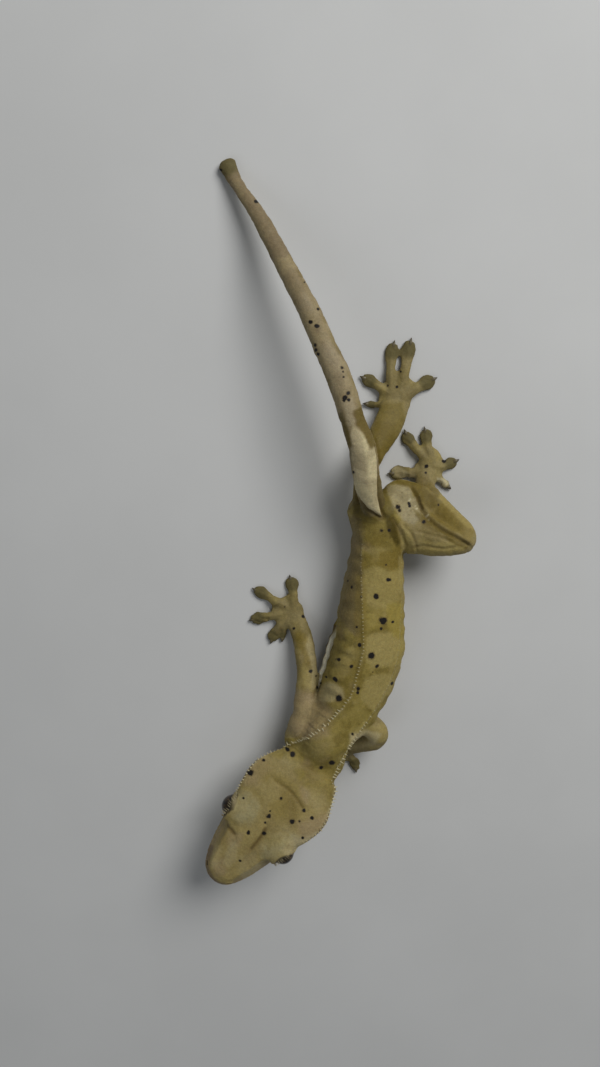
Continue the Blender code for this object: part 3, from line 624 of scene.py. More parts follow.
def outside(uv, outline):
    """How far each place on the sheet is outside a closed outline, in its steps; less than 0 inside."""
    line = np.array(outline, float)
    best = np.full(len(uv), 1e9)
    odd = np.zeros(len(uv), bool)
    for a, b in zip(line, np.roll(line, -1, 0)):
        ab = b - a
        t = np.clip(((uv - a) @ ab) / max(ab @ ab, 1e-9), 0, 1)
        best = np.minimum(best, np.linalg.norm(uv - (a + t[:, None] * ab), axis=1))
        if a[1] != b[1]:
            cross = a[0] + (uv[:, 1] - a[1]) / (b[1] - a[1]) * (b[0] - a[0])
            odd ^= ((a[1] > uv[:, 1]) != (b[1] > uv[:, 1])) & (uv[:, 0] < cross)
    return np.where(odd, -best, best)


def sheet_line(uv, line):
    """How far each place on the sheet is from a bent line, and how far along it (0 to 1)."""
    three = np.concatenate([uv, np.zeros((len(uv), 1))], 1)
    return to_line(three, [(u, v, 0.0) for u, v in line])


# ----------------------------------------------------------------- the skin
def raw_skin():
    bm = bmesh.new()
    add_trunk(bm)
    add_tail(bm)
    add_limbs(bm)
    add_feet(bm)
    add_head(bm)
    bmesh.ops.recalc_face_normals(bm, faces=bm.faces)
    o = put(bm, "skin")
    remesh(o, 0.32)
    smooth(o, 4)
    evaluated(o)
    group = o.vertex_groups.new(name="joins")
    co = points(o)
    weight = np.zeros(len(co))
    for u, v, z, reach in JOINS:
        away = np.linalg.norm(co - seen(u, v, z), axis=1) / reach
        weight = np.maximum(weight, np.clip(2.0 - 2.0 * away, 0.0, 1.0))
    for level in range(1, 11):
        some = np.nonzero((weight > (level - 1) / 10 + 0.02) & (weight <= level / 10 + (0.02 if level < 10 else 1)))[0]
        group.add([int(i) for i in some], level / 10, "REPLACE")
    smooth(o, 38, 0.5, "joins")
    x, y, z = EYE_PLACE
    tools = []
    for side in (1, -1):
        bm = bmesh.new()
        bmesh.ops.create_uvsphere(bm, u_segments=48, v_segments=32, radius=EYE_RADIUS + 0.10, matrix=Matrix.Translation(Vector(in_head(x, side * y, z))))
        tool = put(bm, "socket")
        m = o.modifiers.new("socket", "BOOLEAN")
        m.operation = "DIFFERENCE"
        m.object = tool
        tools.append(tool)
    remesh(o, GRAIN)
    smooth(o, 2)
    evaluated(o)
    for tool in tools:
        bpy.data.objects.remove(tool, do_unlink=True)
    o.vertex_groups.clear()
    return o


def finer_head(o):
    """Splits the head's faces once more, for the mouth, the nostrils and the scales there."""
    bm = bmesh.new()
    bm.from_mesh(o.data)
    co = points(o)
    h = (co - HEAD_ZERO) @ HEAD_AXES
    inside = (h[:, 0] > -16.5) & (h[:, 0] < 18) & (np.abs(h[:, 1]) < 12.6) & (h[:, 2] > -8.6)
    edges = [e for e in bm.edges if inside[e.verts[0].index] and inside[e.verts[1].index]]
    bmesh.ops.subdivide_edges(bm, edges=edges, cuts=1, use_grid_fill=True, smooth=0.0)
    bm.to_mesh(o.data)
    bm.free()


def soften_neck(o):
    """Fills the sharp hollow between the back of the head and the neck."""
    co, n = points(o), normals(o)
    far = sheet_line(on_sheet(co), NECK_LINE)[0] / 4.1
    much = step(3.4, 1.2, far) * step(0.05, 0.35, n[:, 2]) * step(9.0, 10.5, co[:, 2])
    group = o.vertex_groups.new(name="neck")
    for i in np.nonzero(much > 0.02)[0]:
        group.add([int(i)], float(much[i]), "REPLACE")
    smooth(o, 110, 0.5, "neck")
    evaluated(o)
    o.vertex_groups.clear()


class Surface:
    """The skin as something to aim at."""

    def __init__(self, o):
        co = points(o)
        faces = [tuple(p.vertices) for p in o.data.polygons]
        self.tree = BVHTree.FromPolygons([tuple(c) for c in co], faces)

    def under(self, u, v):
        """The place on the skin that a step of the sheet shows, or the nearest one that shows any, and its normal."""
        for reach in range(60):
            for k in range(1 if reach == 0 else 24):
                turn = 2 * math.pi * k / 24
                way = Vector(seen(u + 0.7 * reach * math.cos(turn), v + 0.7 * reach * math.sin(turn), 0.0) - EYE_OVER).normalized()
                hit, normal, _, _ = self.tree.ray_cast(Vector(EYE_OVER), way)
                if hit is not None:
                    return np.array(hit), np.array(normal)
        raise ValueError("nothing under the sheet there")

    def near(self, p):
        hit, normal, _, _ = self.tree.find_nearest(Vector(p))
        return np.array(hit), np.array(normal)


# ---------------------------------------------------------------- colours
BUFF = (0.340, 0.268, 0.087)
TAN = (0.272, 0.212, 0.051)
OLIVE = (0.170, 0.126, 0.023)
BLOTCH = (0.348, 0.277, 0.094)
YELLOW = (0.325, 0.252, 0.052)
DEEP = (0.195, 0.138, 0.020)
ROSY = (0.350, 0.262, 0.155)
TAIL_TONE = (0.302, 0.240, 0.134)
TAIL_DARK = (0.200, 0.150, 0.082)
TAIL_PALE = (0.400, 0.335, 0.215)
# dark olive for the hip's speckles, and painted shade down the tail's left side
TAIL_SPECK_AND_SHADE = (0.170, 0.132, 0.058)
TONGUE_SHADE = (0.490, 0.410, 0.245)
HEAD_OLIVE = (0.245, 0.183, 0.040)
JAW = (0.120, 0.076, 0.050)
TONGUE_PALE = (0.590, 0.512, 0.298)
SPECKLE = (0.345, 0.295, 0.168)
LIMB = (0.255, 0.204, 0.098)
HEAD_TONE = (0.335, 0.262, 0.098)
# darker head tone, also used for painted shade round the brow domes
HEAD_DARK_TONE_AND_SHADE = (0.270, 0.208, 0.064)
HEAD_SIDE = (0.260, 0.200, 0.105)
BROW = (0.370, 0.325, 0.170)
CREAM = (0.440, 0.370, 0.195)
WHITE = (0.600, 0.540, 0.340)
LASH = (0.380, 0.320, 0.185)
FOLD = (0.800, 0.760, 0.600)
BELLY = (0.480, 0.410, 0.255)
BROWNISH = (0.165, 0.115, 0.042)
BROWN = (0.085, 0.055, 0.020)
# painted shade for the hollow of the hip and beside the tail's root
HOLLOW_SHADE = (0.068, 0.048, 0.003)
# the brown of the patch on the tail, and painted shade in creases and on the tail's shaded edge
CREASE_SHADE_AND_MARK = (0.130, 0.091, 0.012)
LINE = (0.135, 0.090, 0.026)
# painted shade for the shaded left flank
FLANK_SHADE = (0.165, 0.125, 0.062)
LIP = (0.300, 0.215, 0.140)
FOOT = (0.235, 0.190, 0.080)
PAD = (0.118, 0.098, 0.036)
BLACK = (0.010, 0.008, 0.006)
# painted shade for the eye sockets, the nostrils, the ear openings and beside the eye
RECESS_SHADE = (0.045, 0.034, 0.018)


# -------------------------------------------------------- lines on the sheet
CREST = ((235.5, 791.5), (239, 788), (244, 780), (249.5, 771), (256, 763), (264.5, 757), (274, 752.5), (285, 748), (293, 743), (301, 741), (311, 737), (320, 731), (328, 724), (335, 717), (342, 709), (348, 701), (353, 692), (358, 675), (361, 662), (364, 650), (363.5, 625), (362.5, 600), (361.5, 578), (361, 560), (362, 542))
CREST_EDGE = ((302, 843), (309, 839), (317.3, 832.3), (323.5, 824.6), (327.3, 816.3), (330.4, 804), (332.4, 797), (333.2, 790), (332.8, 783), (335, 772), (339, 764), (343, 755))
FLANK_FOLD = ((314, 697), (316.8, 688), (320.8, 676), (324.8, 664), (328.8, 651), (333.2, 637), (337, 627))
THIGH_FOLD = ((409.5, 483), (414, 490), (418, 498), (421.5, 507), (427.5, 517), (435, 524), (444, 530), (456, 536.5), (468, 543.5))
HIP_FOLD = ((393, 519), (400, 531), (405, 545), (406, 556))
HEAD_LINES = (
    ((272, 778), (280, 784), (288, 789), (296, 798), (302, 807)),
    ((266, 826), (263, 834), (257, 842), (251, 849)),
    ((227, 823), (231, 830), (234, 834)),
    ((300, 764), (309, 768), (317, 776)),
    ((291, 812), (293, 803)),
)
SNOUT_RIDGE = ((238, 838), (231, 848), (226, 860))
# Black spots: across, down, radius in mm
SPOTS = (
    (287.6, 749.6, 0.42), (293, 754.4, 0.62), (264, 760, 0.34), (250.6, 772.5, 0.68), (244, 798, 0.26), (281, 798, 0.40), (269, 816.6, 0.52),
    (265, 823, 0.26), (263.6, 833.7, 0.55), (248, 832.6, 0.42), (304, 810, 0.44), (292.4, 821, 0.60), (299.5, 821, 0.42), (312, 817.7, 0.46),
    (332, 762.6, 0.60), (321, 767.4, 0.50), (331, 824, 0.42), (303, 838, 0.30), (240, 861, 0.26), (310, 781, 0.20), (270, 811, 0.20),
    (381.5, 531, 0.45), (389, 530.5, 0.42), (386, 565, 0.28), (388.4, 579.5, 0.45), (376, 596.6, 0.62), (361.5, 596.6, 0.32), (351, 587, 0.34),
    (348, 581, 0.30), (383, 621, 0.85), (393, 622, 0.34), (381, 628.6, 0.34), (356.6, 627, 0.30), (359.4, 645, 0.46), (371.6, 656, 0.82),
    (338.6, 659.4, 0.44), (377.4, 666, 0.46), (351.4, 666.7, 0.46), (335, 679, 0.55), (392, 683.4, 0.36), (358.5, 689, 0.50), (358, 693, 0.34),
    (339, 698, 0.80), (352.5, 734, 0.36), (326, 677, 0.26), (317, 687, 0.36), (321, 683, 0.32), (373, 672, 0.22),
    (221, 170, 0.36), (256, 202, 0.42), (258, 201, 0.3), (304.6, 282, 0.24), (318, 309, 0.28), (310.7, 322, 0.42), (317, 326, 0.44), (315, 345, 0.46),
    (316, 350, 0.42), (318, 354, 0.38), (342, 368, 0.46), (343, 371.5, 0.30), (343.5, 377, 0.28), (348, 393, 0.46), (345, 397.5, 0.52), (348.3, 400, 0.40),
    (344, 401, 0.34), (353.5, 472, 0.36), (378, 477.5, 0.36),
    (398, 507, 0.55), (399.8, 510.5, 0.5), (409, 503.4, 0.42), (409.4, 506, 0.3), (423.6, 522, 0.5), (438.4, 504.8, 0.28), (426.4, 466, 0.42), (425.7, 472.6, 0.28), (444, 461, 0.40),
    (388.6, 456.4, 0.28), (387.7, 385.6, 0.36), (400.8, 371.5, 0.26), (397, 387, 0.30),
    (303, 616.7, 0.40), (293.7, 628.4, 0.32), (284.6, 606.7, 0.26), (310.7, 671.5, 0.42), (316, 676, 0.24),
)
# Paler blotches over the back, the flank, the limbs, and two of painted light on shaded places: their outlines on the
# sheet, softness in steps, strength
BLOTCHES = (
    (((362, 580), (364, 571), (373, 566.5), (391, 567.5), (402, 570), (401, 590), (397, 601), (389, 608), (374, 609), (365, 602)), 2.2, 0.60),
    (((365, 638), (375, 632.5), (391, 631), (402, 640), (401, 654), (391, 666), (373, 669), (364, 656)), 2.0, 0.9),
    (((365.5, 679), (376, 674), (391, 674), (393, 682), (384, 701), (376, 713), (363, 704), (360, 692)), 2.0, 0.8),
    (((367, 551), (375, 546), (391, 548), (393, 560), (373, 561)), 2.5, 0.55),
    (((368, 613), (377, 611), (377, 626), (369, 628)), 2.2, 0.5),
    (((337, 662), (348, 660), (350, 672), (345, 679), (336, 678)), 2.4, 0.55),
    (((339, 624), (353, 622), (354, 634), (341, 638)), 2.4, 0.5),
    (((297, 704), (312, 700), (316, 716), (304, 725), (296, 718)), 3.0, 0.6),
    (((344, 650), (354, 645), (356, 654), (346, 658)), 2.5, 0.6),
    (((331, 706), (347, 703), (345, 716), (333, 722)), 3.0, 0.4),
    (((303, 672), (311, 670), (312, 686), (304, 688)), 2.0, 0.5),
    (((297, 616), (304, 618), (305, 628), (299, 628)), 2.0, 0.5),
    (((303, 636), (309, 638), (309, 648), (304, 647)), 2.0, 0.45),
    (((423, 458), (438, 456), (444, 470), (440, 484), (430, 478)), 2.6, 0.8),
    (((403, 528), (410, 525), (414, 545), (408, 556), (403, 552)), 1.6, 0.65),
    # these two: painted light on the shade at the left arm's root and on the neck behind the head
    (((354, 729), (386, 722), (394, 738), (370, 749)), 3.0, 0.6),
    (((304, 742), (330, 733), (346, 738), (330, 750), (312, 756)), 3.0, 0.5),
    (((408, 548), (440, 540), (462, 546), (450, 554), (420, 557)), 3.0, 0.5),
)
# Darker brownish olive areas, told in the same way: partly the animal's smudges, partly painted shade on the shaded
# left flank, in the hip's hollow and beside the tail's root
OLIVE_SMUDGES_AND_SHADE = (
    (((394, 556), (404, 552), (405, 566), (395, 566)), 2.5, 0.6),
    # painted shade on the shaded left flank
    (((346, 570), (359, 562), (358, 600), (345, 612)), 4.0, 0.6),
    (((368, 628), (384, 626), (400, 628), (390, 632), (372, 633)), 1.6, 0.6),
    (((372, 668), (390, 667), (400, 664), (394, 673), (376, 674)), 1.6, 0.6),
    (((353, 600), (361, 598), (363, 680), (354, 690)), 2.6, 0.45),
    (((316, 693), (330, 684), (352, 690), (348, 706), (326, 716), (314, 710)), 5.0, 0.45),
    (((388, 700), (398, 690), (396, 702), (386, 714)), 3.0, 0.5),
    (((330, 738), (346, 731), (352, 736), (338, 745)), 2.0, 0.7),
    (((300, 746), (318, 741), (324, 748), (310, 754)), 3.0, 0.35),
    (((301, 764), (309, 766), (318, 775), (312, 778), (303, 771)), 2.5, 0.55),
    (((291, 636), (300, 630), (309, 633), (306, 640), (296, 644)), 2.4, 0.7),
    (((294, 652), (300, 652), (302, 676), (296, 680)), 2.4, 0.5),
    (((380, 452), (380, 424), (392, 428), (386, 446)), 3.0, 0.5),
    (((434, 494), (448, 500), (468, 524), (460, 532), (440, 516)), 4.0, 0.6),
    (((362, 514), (392, 514), (388, 536), (366, 536)), 5.0, 0.4),
    # painted shade in the hollow of the hip
    (((392, 512), (398, 522), (402, 545), (398, 560), (393, 540)), 2.0, 0.85),
    (((291, 621), (300, 621), (302, 642), (292, 642)), 2.4, 0.55),
    # painted shade on the rump left of the tail's root
    (((353, 492), (362, 504), (372, 514), (364, 530), (354, 520)), 2.0, 0.7),
    (((374, 428), (392, 426), (396, 444), (386, 470), (377, 464)), 3.0, 0.6),
)
# Yellower and deeper olive areas of the back, the rump and the limbs
YELLOWS = (
    (((387, 603), (405, 604), (405, 668), (396, 664), (398, 640), (388, 628)), 2.4, 0.75),
    (((372, 716), (386, 700), (396, 690), (392, 706), (382, 720)), 2.4, 0.5),
    (((366, 614), (376, 612), (380, 628), (368, 632)), 2.4, 0.5),
)
DEEPS = (
    (((380, 552), (404, 546), (405, 567), (392, 572), (378, 566)), 2.4, 0.75),
    (((412, 484), (428, 494), (450, 506), (474, 530), (470, 542), (452, 532), (430, 516), (420, 504)), 2.0, 0.55),
    (((364, 536), (376, 534), (390, 538), (384, 548), (366, 548)), 3.0, 0.4),
    (((376, 430), (394, 428), (397, 446), (387, 468), (377, 460)), 2.4, 0.65),
    (((301, 648), (311, 646), (313, 664), (303, 666)), 2.0, 0.45),
    (((295, 634), (306, 632), (308, 646), (297, 648)), 1.8, 0.45),
)
# Where painted shade darkens the left side of the tail's root
TAIL_LEFT_SHADE = ((337, 413), (343, 412), (349.5, 432), (352, 460), (353.5, 490), (346, 494), (342, 460), (338, 432))
TAIL_END = ((234, 170), (246, 164), (262, 196), (278, 228), (292, 254), (280, 258), (260, 226), (243, 196))
# Where painted shade darkens the shaded left flank
FLANK_SHADE_OUTLINE = ((338, 612), (342, 580), (346, 548), (350, 518), (357, 512), (363, 526), (362.5, 560), (362, 600), (360, 636), (352, 634), (341, 622))
# The band beside the flank's fold, where painted shade stands for its underside in shadow
FOLD_SHADE_OUTLINE = ((337, 626), (332, 636), (327.5, 650), (323.5, 663), (319.5, 675), (316, 687), (313.5, 697), (306, 692), (311, 668), (319, 645), (327, 622))
TAIL_RIGHT = ((341, 399), (353, 397), (356, 410), (357, 424), (348, 426))
TONGUE_RIDGE = ((361, 432), (364, 450), (366, 475), (370, 495), (376.5, 508), (381, 515.5))
THIGH_CREASES = (
    ((412, 530), (424, 533), (440, 537), (456, 543.5)),
    ((408, 548), (424, 546), (444, 549), (462, 546)),
    ((401, 523), (411, 533), (416, 545), (417, 556)),
)
JAW_EDGE = ((210, 844), (205, 858), (202, 876), (209, 887), (222, 891), (223, 883.5), (214, 879.5), (209.5, 870), (210.5, 858), (214, 847))
# Smaller lighter and darker touches, partly the animal's own markings, partly painted light that lifts shaded places
# and painted shade in hollows, creases and shaded edges: colour, outline, softness in steps, strength
MARK_AND_LIGHT_TOUCHES = (
    (OLIVE, ((382, 534), (392, 538), (402, 552), (402, 566), (392, 560), (384, 548)), 3.0, 0.5),
    (DEEP, ((361, 556), (380, 554), (404, 550), (405, 566), (392, 567), (376, 565), (362, 569)), 2.0, 0.45),
    # painted shade in the hollow of the hip
    (HOLLOW_SHADE, ((385, 513), (391, 516), (397, 528), (400, 543), (397, 546), (390, 536), (386, 524)), 1.8, 0.92),
    (CREASE_SHADE_AND_MARK, ((354, 411), (361, 407), (367, 417), (372, 430), (377, 446), (371, 449), (364, 436), (357, 425)), 1.8, 0.80),
    # painted shade down the tail's shaded left edge
    (CREASE_SHADE_AND_MARK, ((336, 413), (342, 417), (348, 430), (352, 446), (346, 449), (340, 433)), 1.6, 0.75),
    # painted light on the shaded lower left of the tail's root
    (TONGUE_PALE, ((355, 478), (366, 484), (374, 500), (379, 512), (368, 508), (360, 498), (354, 488)), 1.6, 0.7),
    # painted shade along the head's shaded left edge
    (BROWNISH, ((309, 839.5), (318, 833.5), (324.5, 825.5), (328.5, 817), (331.5, 805), (334, 791), (338, 790), (336, 806), (330, 820), (320, 836), (310, 844)), 0.9, 0.60),
    # painted shade at the brow's edge beside the eye
    (RECESS_SHADE, ((236, 793), (233, 800), (228.5, 808), (230, 812), (234, 809.5), (237, 802), (238.5, 795)), 1.0, 0.85),
    (CREAM, ((240, 873), (262, 861), (269, 866), (246, 882)), 1.8, 0.45),
    # these two: painted shade in the groove right of the tail's root and on the rump below its tip
    (HOLLOW_SHADE, ((377.5, 472), (383, 480), (388, 494), (393, 506), (397, 514), (388, 517), (384, 516), (380.5, 506), (379, 492)), 1.8, 0.62),
    (HOLLOW_SHADE, ((352, 498), (360, 503), (368, 511), (376, 516.5), (384, 519), (374, 524), (362, 530), (356, 528)), 2.4, 0.55),
    # these five: painted shade where the shank lies against the thigh
    (CREASE_SHADE_AND_MARK, ((396, 478), (410, 480), (422, 486), (434, 496), (438, 506), (430, 510), (420, 500), (410, 488), (396, 483)), 1.8, 0.80),
    (CREASE_SHADE_AND_MARK, ((412, 509), (420, 513), (436, 524), (446, 534), (434, 532), (420, 522)), 1.6, 0.70),
    (CREASE_SHADE_AND_MARK, ((418, 517), (440, 521), (458, 531), (452, 540), (428, 538), (418, 528)), 3.5, 0.35),
    (CREASE_SHADE_AND_MARK, ((416, 476), (428, 477), (440, 493), (438, 505), (424, 491)), 2.0, 0.50),
    (CREASE_SHADE_AND_MARK, ((436, 526), (452, 534), (470, 545), (466, 550), (450, 542)), 1.2, 0.75),
    (BUFF, ((442, 488), (454, 502), (476, 526), (476, 530), (468, 528), (450, 510), (438, 498)), 1.6, 0.75),
    # these two: painted light on the shade where the trunk meets the thigh and along the thigh's lower edge
    (BUFF, ((401, 536), (409, 533), (411, 552), (402, 554)), 1.4, 0.75),
    (BUFF, ((404, 549), (440, 549), (466, 546), (462, 552), (440, 556), (404, 557)), 1.6, 0.60),
    (OLIVE, ((376, 404), (402, 402), (405, 420), (398, 444), (388, 452), (373, 443)), 3.0, 0.80),
    # these three: painted light on two shaded toes of the left foot
    (CREAM, ((389, 468), (396, 466), (404, 470), (416, 475), (417, 480), (404, 479), (390, 475)), 1.4, 0.75),
    (CREAM, ((437, 477), (444, 478), (450, 484), (446, 488), (439, 485)), 1.4, 0.75),
    (WHITE, ((437, 478), (444, 478), (449, 484), (445, 487), (439, 484)), 1.0, 0.6),
    (CREASE_SHADE_AND_MARK, ((376, 424), (396, 424), (394, 440), (384, 452), (375, 444)), 3.0, 0.4),
    (ROSY, ((292, 690), (316, 692), (334, 712), (328, 736), (302, 742), (288, 730)), 5.0, 0.50),
    # painted light along the right arm's shaded edge
    (CREAM, ((309, 634), (315, 650), (319, 668), (318, 690), (311, 690), (312, 668), (306, 646)), 1.6, 0.60),
    (BUFF, ((404, 441), (409, 444), (421, 456), (420, 462), (412, 456)), 1.4, 0.7),
    (BUFF, ((432, 445), (438, 448), (442, 458), (437, 460)), 1.4, 0.7),
    (BUFF, ((374, 384), (386, 386), (386, 402), (377, 402)), 1.6, 0.6),
    # painted light on the shaded hollow behind the head
    (BUFF, ((294, 742), (306, 740), (318, 743), (323, 752), (319, 759), (306, 757), (298, 752)), 4.0, 0.60),
    (HEAD_OLIVE, ((299, 762), (310, 767), (322, 771), (336, 769), (336, 780), (318, 780), (304, 774)), 3.5, 0.40),
    (BUFF, ((274, 798), (286, 798), (288, 816), (276, 818)), 3.5, 0.40),
    (BUFF, ((268, 752), (286, 744), (290, 750), (274, 757)), 1.6, 0.7),
    # painted light where the head's surface turns from the lamp
    (WHITE, ((290, 834), (302, 838), (318, 833), (320, 840), (306, 848), (294, 852)), 3.4, 0.42),
    (HEAD_DARK_TONE_AND_SHADE, ((310, 772), (334, 774), (335, 790), (326, 798), (308, 790)), 3.0, 0.45),
    (HEAD_DARK_TONE_AND_SHADE, ((256, 763), (275, 760), (300, 766), (304, 778), (290, 785), (258, 782)), 4.0, 0.40),
    (DEEP, ((356, 575), (364, 575), (366.5, 600), (366, 645), (358, 650), (354, 620)), 2.0, 0.40),
    (DEEP, ((338, 666), (362, 656), (364, 690), (350, 704), (336, 702)), 4.0, 0.28),
    (HEAD_OLIVE, ((264, 776), (280, 772), (300, 788), (306, 806), (296, 820), (276, 820), (264, 800)), 4.0, 0.42),
    (HEAD_OLIVE, ((266, 838), (280, 836), (282, 846), (268, 850)), 3.0, 0.35),
    # painted shade on the cheek below the crown's edge
    (BROWNISH, ((250, 768), (244, 777), (240, 785), (235, 792), (230, 792), (234, 778), (246, 764)), 1.2, 0.80),
    # painted light on the shade between the right arm and the trunk
    (CREAM, ((317, 686), (330, 682), (343, 688), (344, 698), (330, 702), (315, 702)), 2.4, 0.60),
    (BUFF, ((339, 656), (350, 650), (352, 672), (342, 680)), 2.4, 0.45),
    (BUFF, ((396, 640), (405, 636), (405, 660), (394, 690), (388, 700), (386, 684)), 2.0, 0.45),
    (BUFF, ((399, 556), (407, 556), (407, 604), (400, 604)), 1.4, 0.55),
    # painted light on the trunk's shadow over the left arm's root
    (CREAM, ((350, 734), (366, 730), (382, 734), (374, 746), (350, 750)), 2.4, 0.90),
    (OLIVE, ((324, 724), (338, 712), (346, 706), (352, 700), (354, 706), (342, 718), (328, 730)), 1.8, 0.45),
    (OLIVE, ((361, 618), (366, 620), (366, 660), (360, 680), (356, 676), (360, 650)), 1.4, 0.50),
    (BROWNISH, ((338, 626), (344, 626), (345, 640), (338, 640)), 1.6, 0.45),
)
# Where the head's back meets the neck
NECK_LINE = ((290, 748), (298, 750), (306, 757), (315, 764), (325, 768), (333, 768))
# The pale tongue over the root of the tail, and its olive patch higher up
TONGUE = ((353, 424), (358, 427), (365, 420), (371, 436), (376.5, 455), (378, 470), (377.5, 485), (378, 498), (380, 508), (382, 516.5), (376, 513.5), (368, 508.5), (360.5, 500), (354.5, 490), (352, 475), (350.5, 455), (350, 438))
TAIL_PATCH = ((352.5, 411), (360, 408), (366, 416), (371, 428), (376, 446), (370, 448), (363, 434), (356, 424))
SPECKLED = ((386, 486), (396, 484), (409, 486), (415, 497), (420, 509), (422, 519), (414, 525), (405, 522), (399, 515), (393, 508), (389, 498))
FLAKES = ((415, 506), (416.5, 508.5), (409, 501), (427, 516), (429, 519), (410.5, 499.5))
# The domes over the eyes, and other areas of the head
DOMES = (
    ((233, 800), (235, 794), (242, 789), (250, 790), (258, 798), (261, 808), (259, 820), (250, 826), (239, 826), (231, 818)),
    ((259, 846), (270, 834), (280, 832), (290, 837), (294, 846), (286, 856), (272, 861), (262, 860)),
)
HEAD_BROWN = (
    (((279, 787), (292, 793), (303, 806), (299, 816), (287, 822), (279, 812)), 3.5, 0.34),
    (((301, 764), (312, 767), (320, 776), (316, 784), (306, 776)), 3.0, 0.60),
    (((319, 756), (329, 760), (332, 776), (322, 778)), 4.0, 0.45),
    (((286, 768), (296, 774), (300, 784), (290, 784)), 3.0, 0.35),
    (((288, 812), (296, 814), (298, 826), (288, 828)), 2.6, 0.35),
    (((245, 848), (262, 838), (262, 848), (254, 862), (243, 866)), 5.0, 0.35),
    (((214, 838), (226, 822), (231, 834), (220, 852)), 4.0, 0.30),
    (((264, 812), (276, 816), (276, 832), (264, 834)), 4.0, 0.22),
)
HEAD_ROSY = (
    (((298, 822), (330, 812), (334, 826), (318, 839), (300, 842)), 5.0, 0.55),
    (((246, 762), (266, 752), (270, 770), (256, 786), (243, 784)), 5.0, 0.40),
    (((212, 862), (222, 858), (228, 874), (216, 876)), 4.0, 0.45),
    (((300, 786), (310, 790), (308, 806), (300, 800)), 3.0, 0.45),
    (((228, 832), (244, 834), (240, 846), (228, 846)), 3.0, 0.35),
    (((280, 846), (296, 840), (296, 850), (284, 856)), 4.0, 0.30),
)
HEAD_LIGHT = (
    (((232, 843), (238, 845), (236, 860), (230, 868), (223, 864), (225, 852)), 2.5, 0.42),
    (((310, 788), (326, 784), (330, 806), (316, 812), (308, 800)), 5.0, 0.25),
    (((262, 784), (272, 776), (280, 786), (280, 800), (266, 804)), 3.0, 0.35),
    (((286, 750), (304, 756), (306, 768), (292, 770), (280, 762)), 3.0, 0.45),
    (((215, 842), (222, 846), (218, 866), (209, 868)), 3.0, 0.30),
    (((240, 856), (256, 852), (262, 862), (248, 874), (236, 872)), 4.0, 0.25),
    (((268, 756), (292, 762), (296, 780), (276, 774)), 6.0, 0.35),
    (((274, 830), (286, 826), (300, 834), (290, 844)), 5.0, 0.35),
)


def place_all(surface):
    """The 3-D places of everything that is given on the sheet."""
    lines = {}
    for name, line in (("crest", CREST), ("flank", FLANK_FOLD), ("thigh", THIGH_FOLD), ("hip", HIP_FOLD), ("snout", SNOUT_RIDGE)):
        lines[name] = np.array([surface.under(u, v)[0] for u, v in line])
    lines["nostril"] = [surface.near(in_head(14.0, side * 3.4, -0.9))[0] for side in (1, -1)]
    lines["head"] = [np.array([surface.under(u, v)[0] for u, v in line]) for line in HEAD_LINES]
    # the crest of the other side: along the edge that the sheet shows of the head, then mirrored in the trunk's frames
    left = [surface.under(u, v)[0] for u, v in CREST_EDGE]
    trunk = RUNS["trunk"]
    for p in lines["crest"]:
        i = ((trunk.c - p) ** 2).sum(1).argmin()
        v = p - trunk.c[i]
        b = p - 2 * (v @ trunk.side[i]) * trunk.side[i]
        if (p - HEAD_ZERO) @ HEAD_AXES[:, 0] < -18.5 and on_sheet(b[None])[0][1] < 751:
            left.append(surface.near(b)[0])
    left = np.array(left)
    for _ in range(3):
        left[1:-1] = (left[:-2] + 2 * left[1:-1] + left[2:]) / 4
    lines["crest_left"] = np.array([surface.near(q)[0] for q in left])
    return lines


def describe(co, normal, lines):
    """What part of the animal each point belongs to, and where on it."""
    h = (co - HEAD_ZERO) @ HEAD_AXES
    info = {"h": h}
    info["head"] = step(-22, -17, h[:, 0]) * step(-10.5, -8.6, h[:, 2]) * step(14.5, 13.0, np.abs(h[:, 1]))
    names = list(RUNS)
    near = np.stack([RUNS[n].at(co) for n in names], 1)
    which = near[:, :, 3].argmin(1)
    info["at"] = {n: near[:, k] for k, n in enumerate(names)}
    info["is"] = {n: ((which == k) & (info["head"] < 0.5)).astype(float) for k, n in enumerate(names)}
    feet = np.full(len(co), 1e9)
    for u, v, *_ in PALMS.values():
        feet = np.minimum(feet, np.linalg.norm((co - seen(u, v, 1.0)) * np.array([1, 1, 1.6]), axis=1))
    info["foot"] = step(9.5, 5.5, feet) * step(4.6, 3.0, co[:, 2])
    pads = np.full(len(co), 1e9)
    for toes in TOES.values():
        for start, bend, pad, claw, wide in toes:
            a, b = seen(*pad, 0.6), seen(*claw, 0.6)
            c = a + (b - a) * 0.15
            pads = np.minimum(pads, np.linalg.norm((co - c) * np.array([1, 1, 0.8]), axis=1) / wide)
            info["foot"] = np.maximum(info["foot"], step(3.4, 2.4, np.linalg.norm(co - (seen(*bend, 1.0) + a) / 2, axis=1)) * step(3.6, 2.6, co[:, 2]))
    info["pad"] = step(1.7, 0.9, pads) * step(3.0, 2.4, co[:, 2])
    info["foot"] = np.maximum(info["foot"], info["pad"])
    tip = np.linalg.norm(co - seen(228, 167, 1.2), axis=1)
    info["pad"] = np.maximum(info["pad"], step(3.4, 1.8, tip))
    info["up"] = normal[:, 2]
    info["uv"] = on_sheet(co)
    to_eye = EYE_OVER - co
    info["seen"] = step(-0.02, 0.22, (to_eye * normal).sum(1) / np.linalg.norm(to_eye, axis=1))
    fold = lines["thigh"]

    def thigh_foot(p):
        """The nearest place on the fold between thigh and shank."""
        best, where = to_line(p, fold)
        long = np.concatenate([[0.0], np.cumsum(np.linalg.norm(np.diff(fold, axis=0), axis=1))])
        return np.stack([np.interp(where * long[-1], long, fold[:, k]) for k in range(3)], 1)

    info["thigh_foot"] = thigh_foot
    return info


def lip_level(x):
    """The height of the mouth's line along the head."""
    return np.interp(x, (-9.5, -6, -1, 5, 10, 14, 16.5), (-3.5, -4.1, -4.3, -3.95, -3.5, -3.15, -3.0))


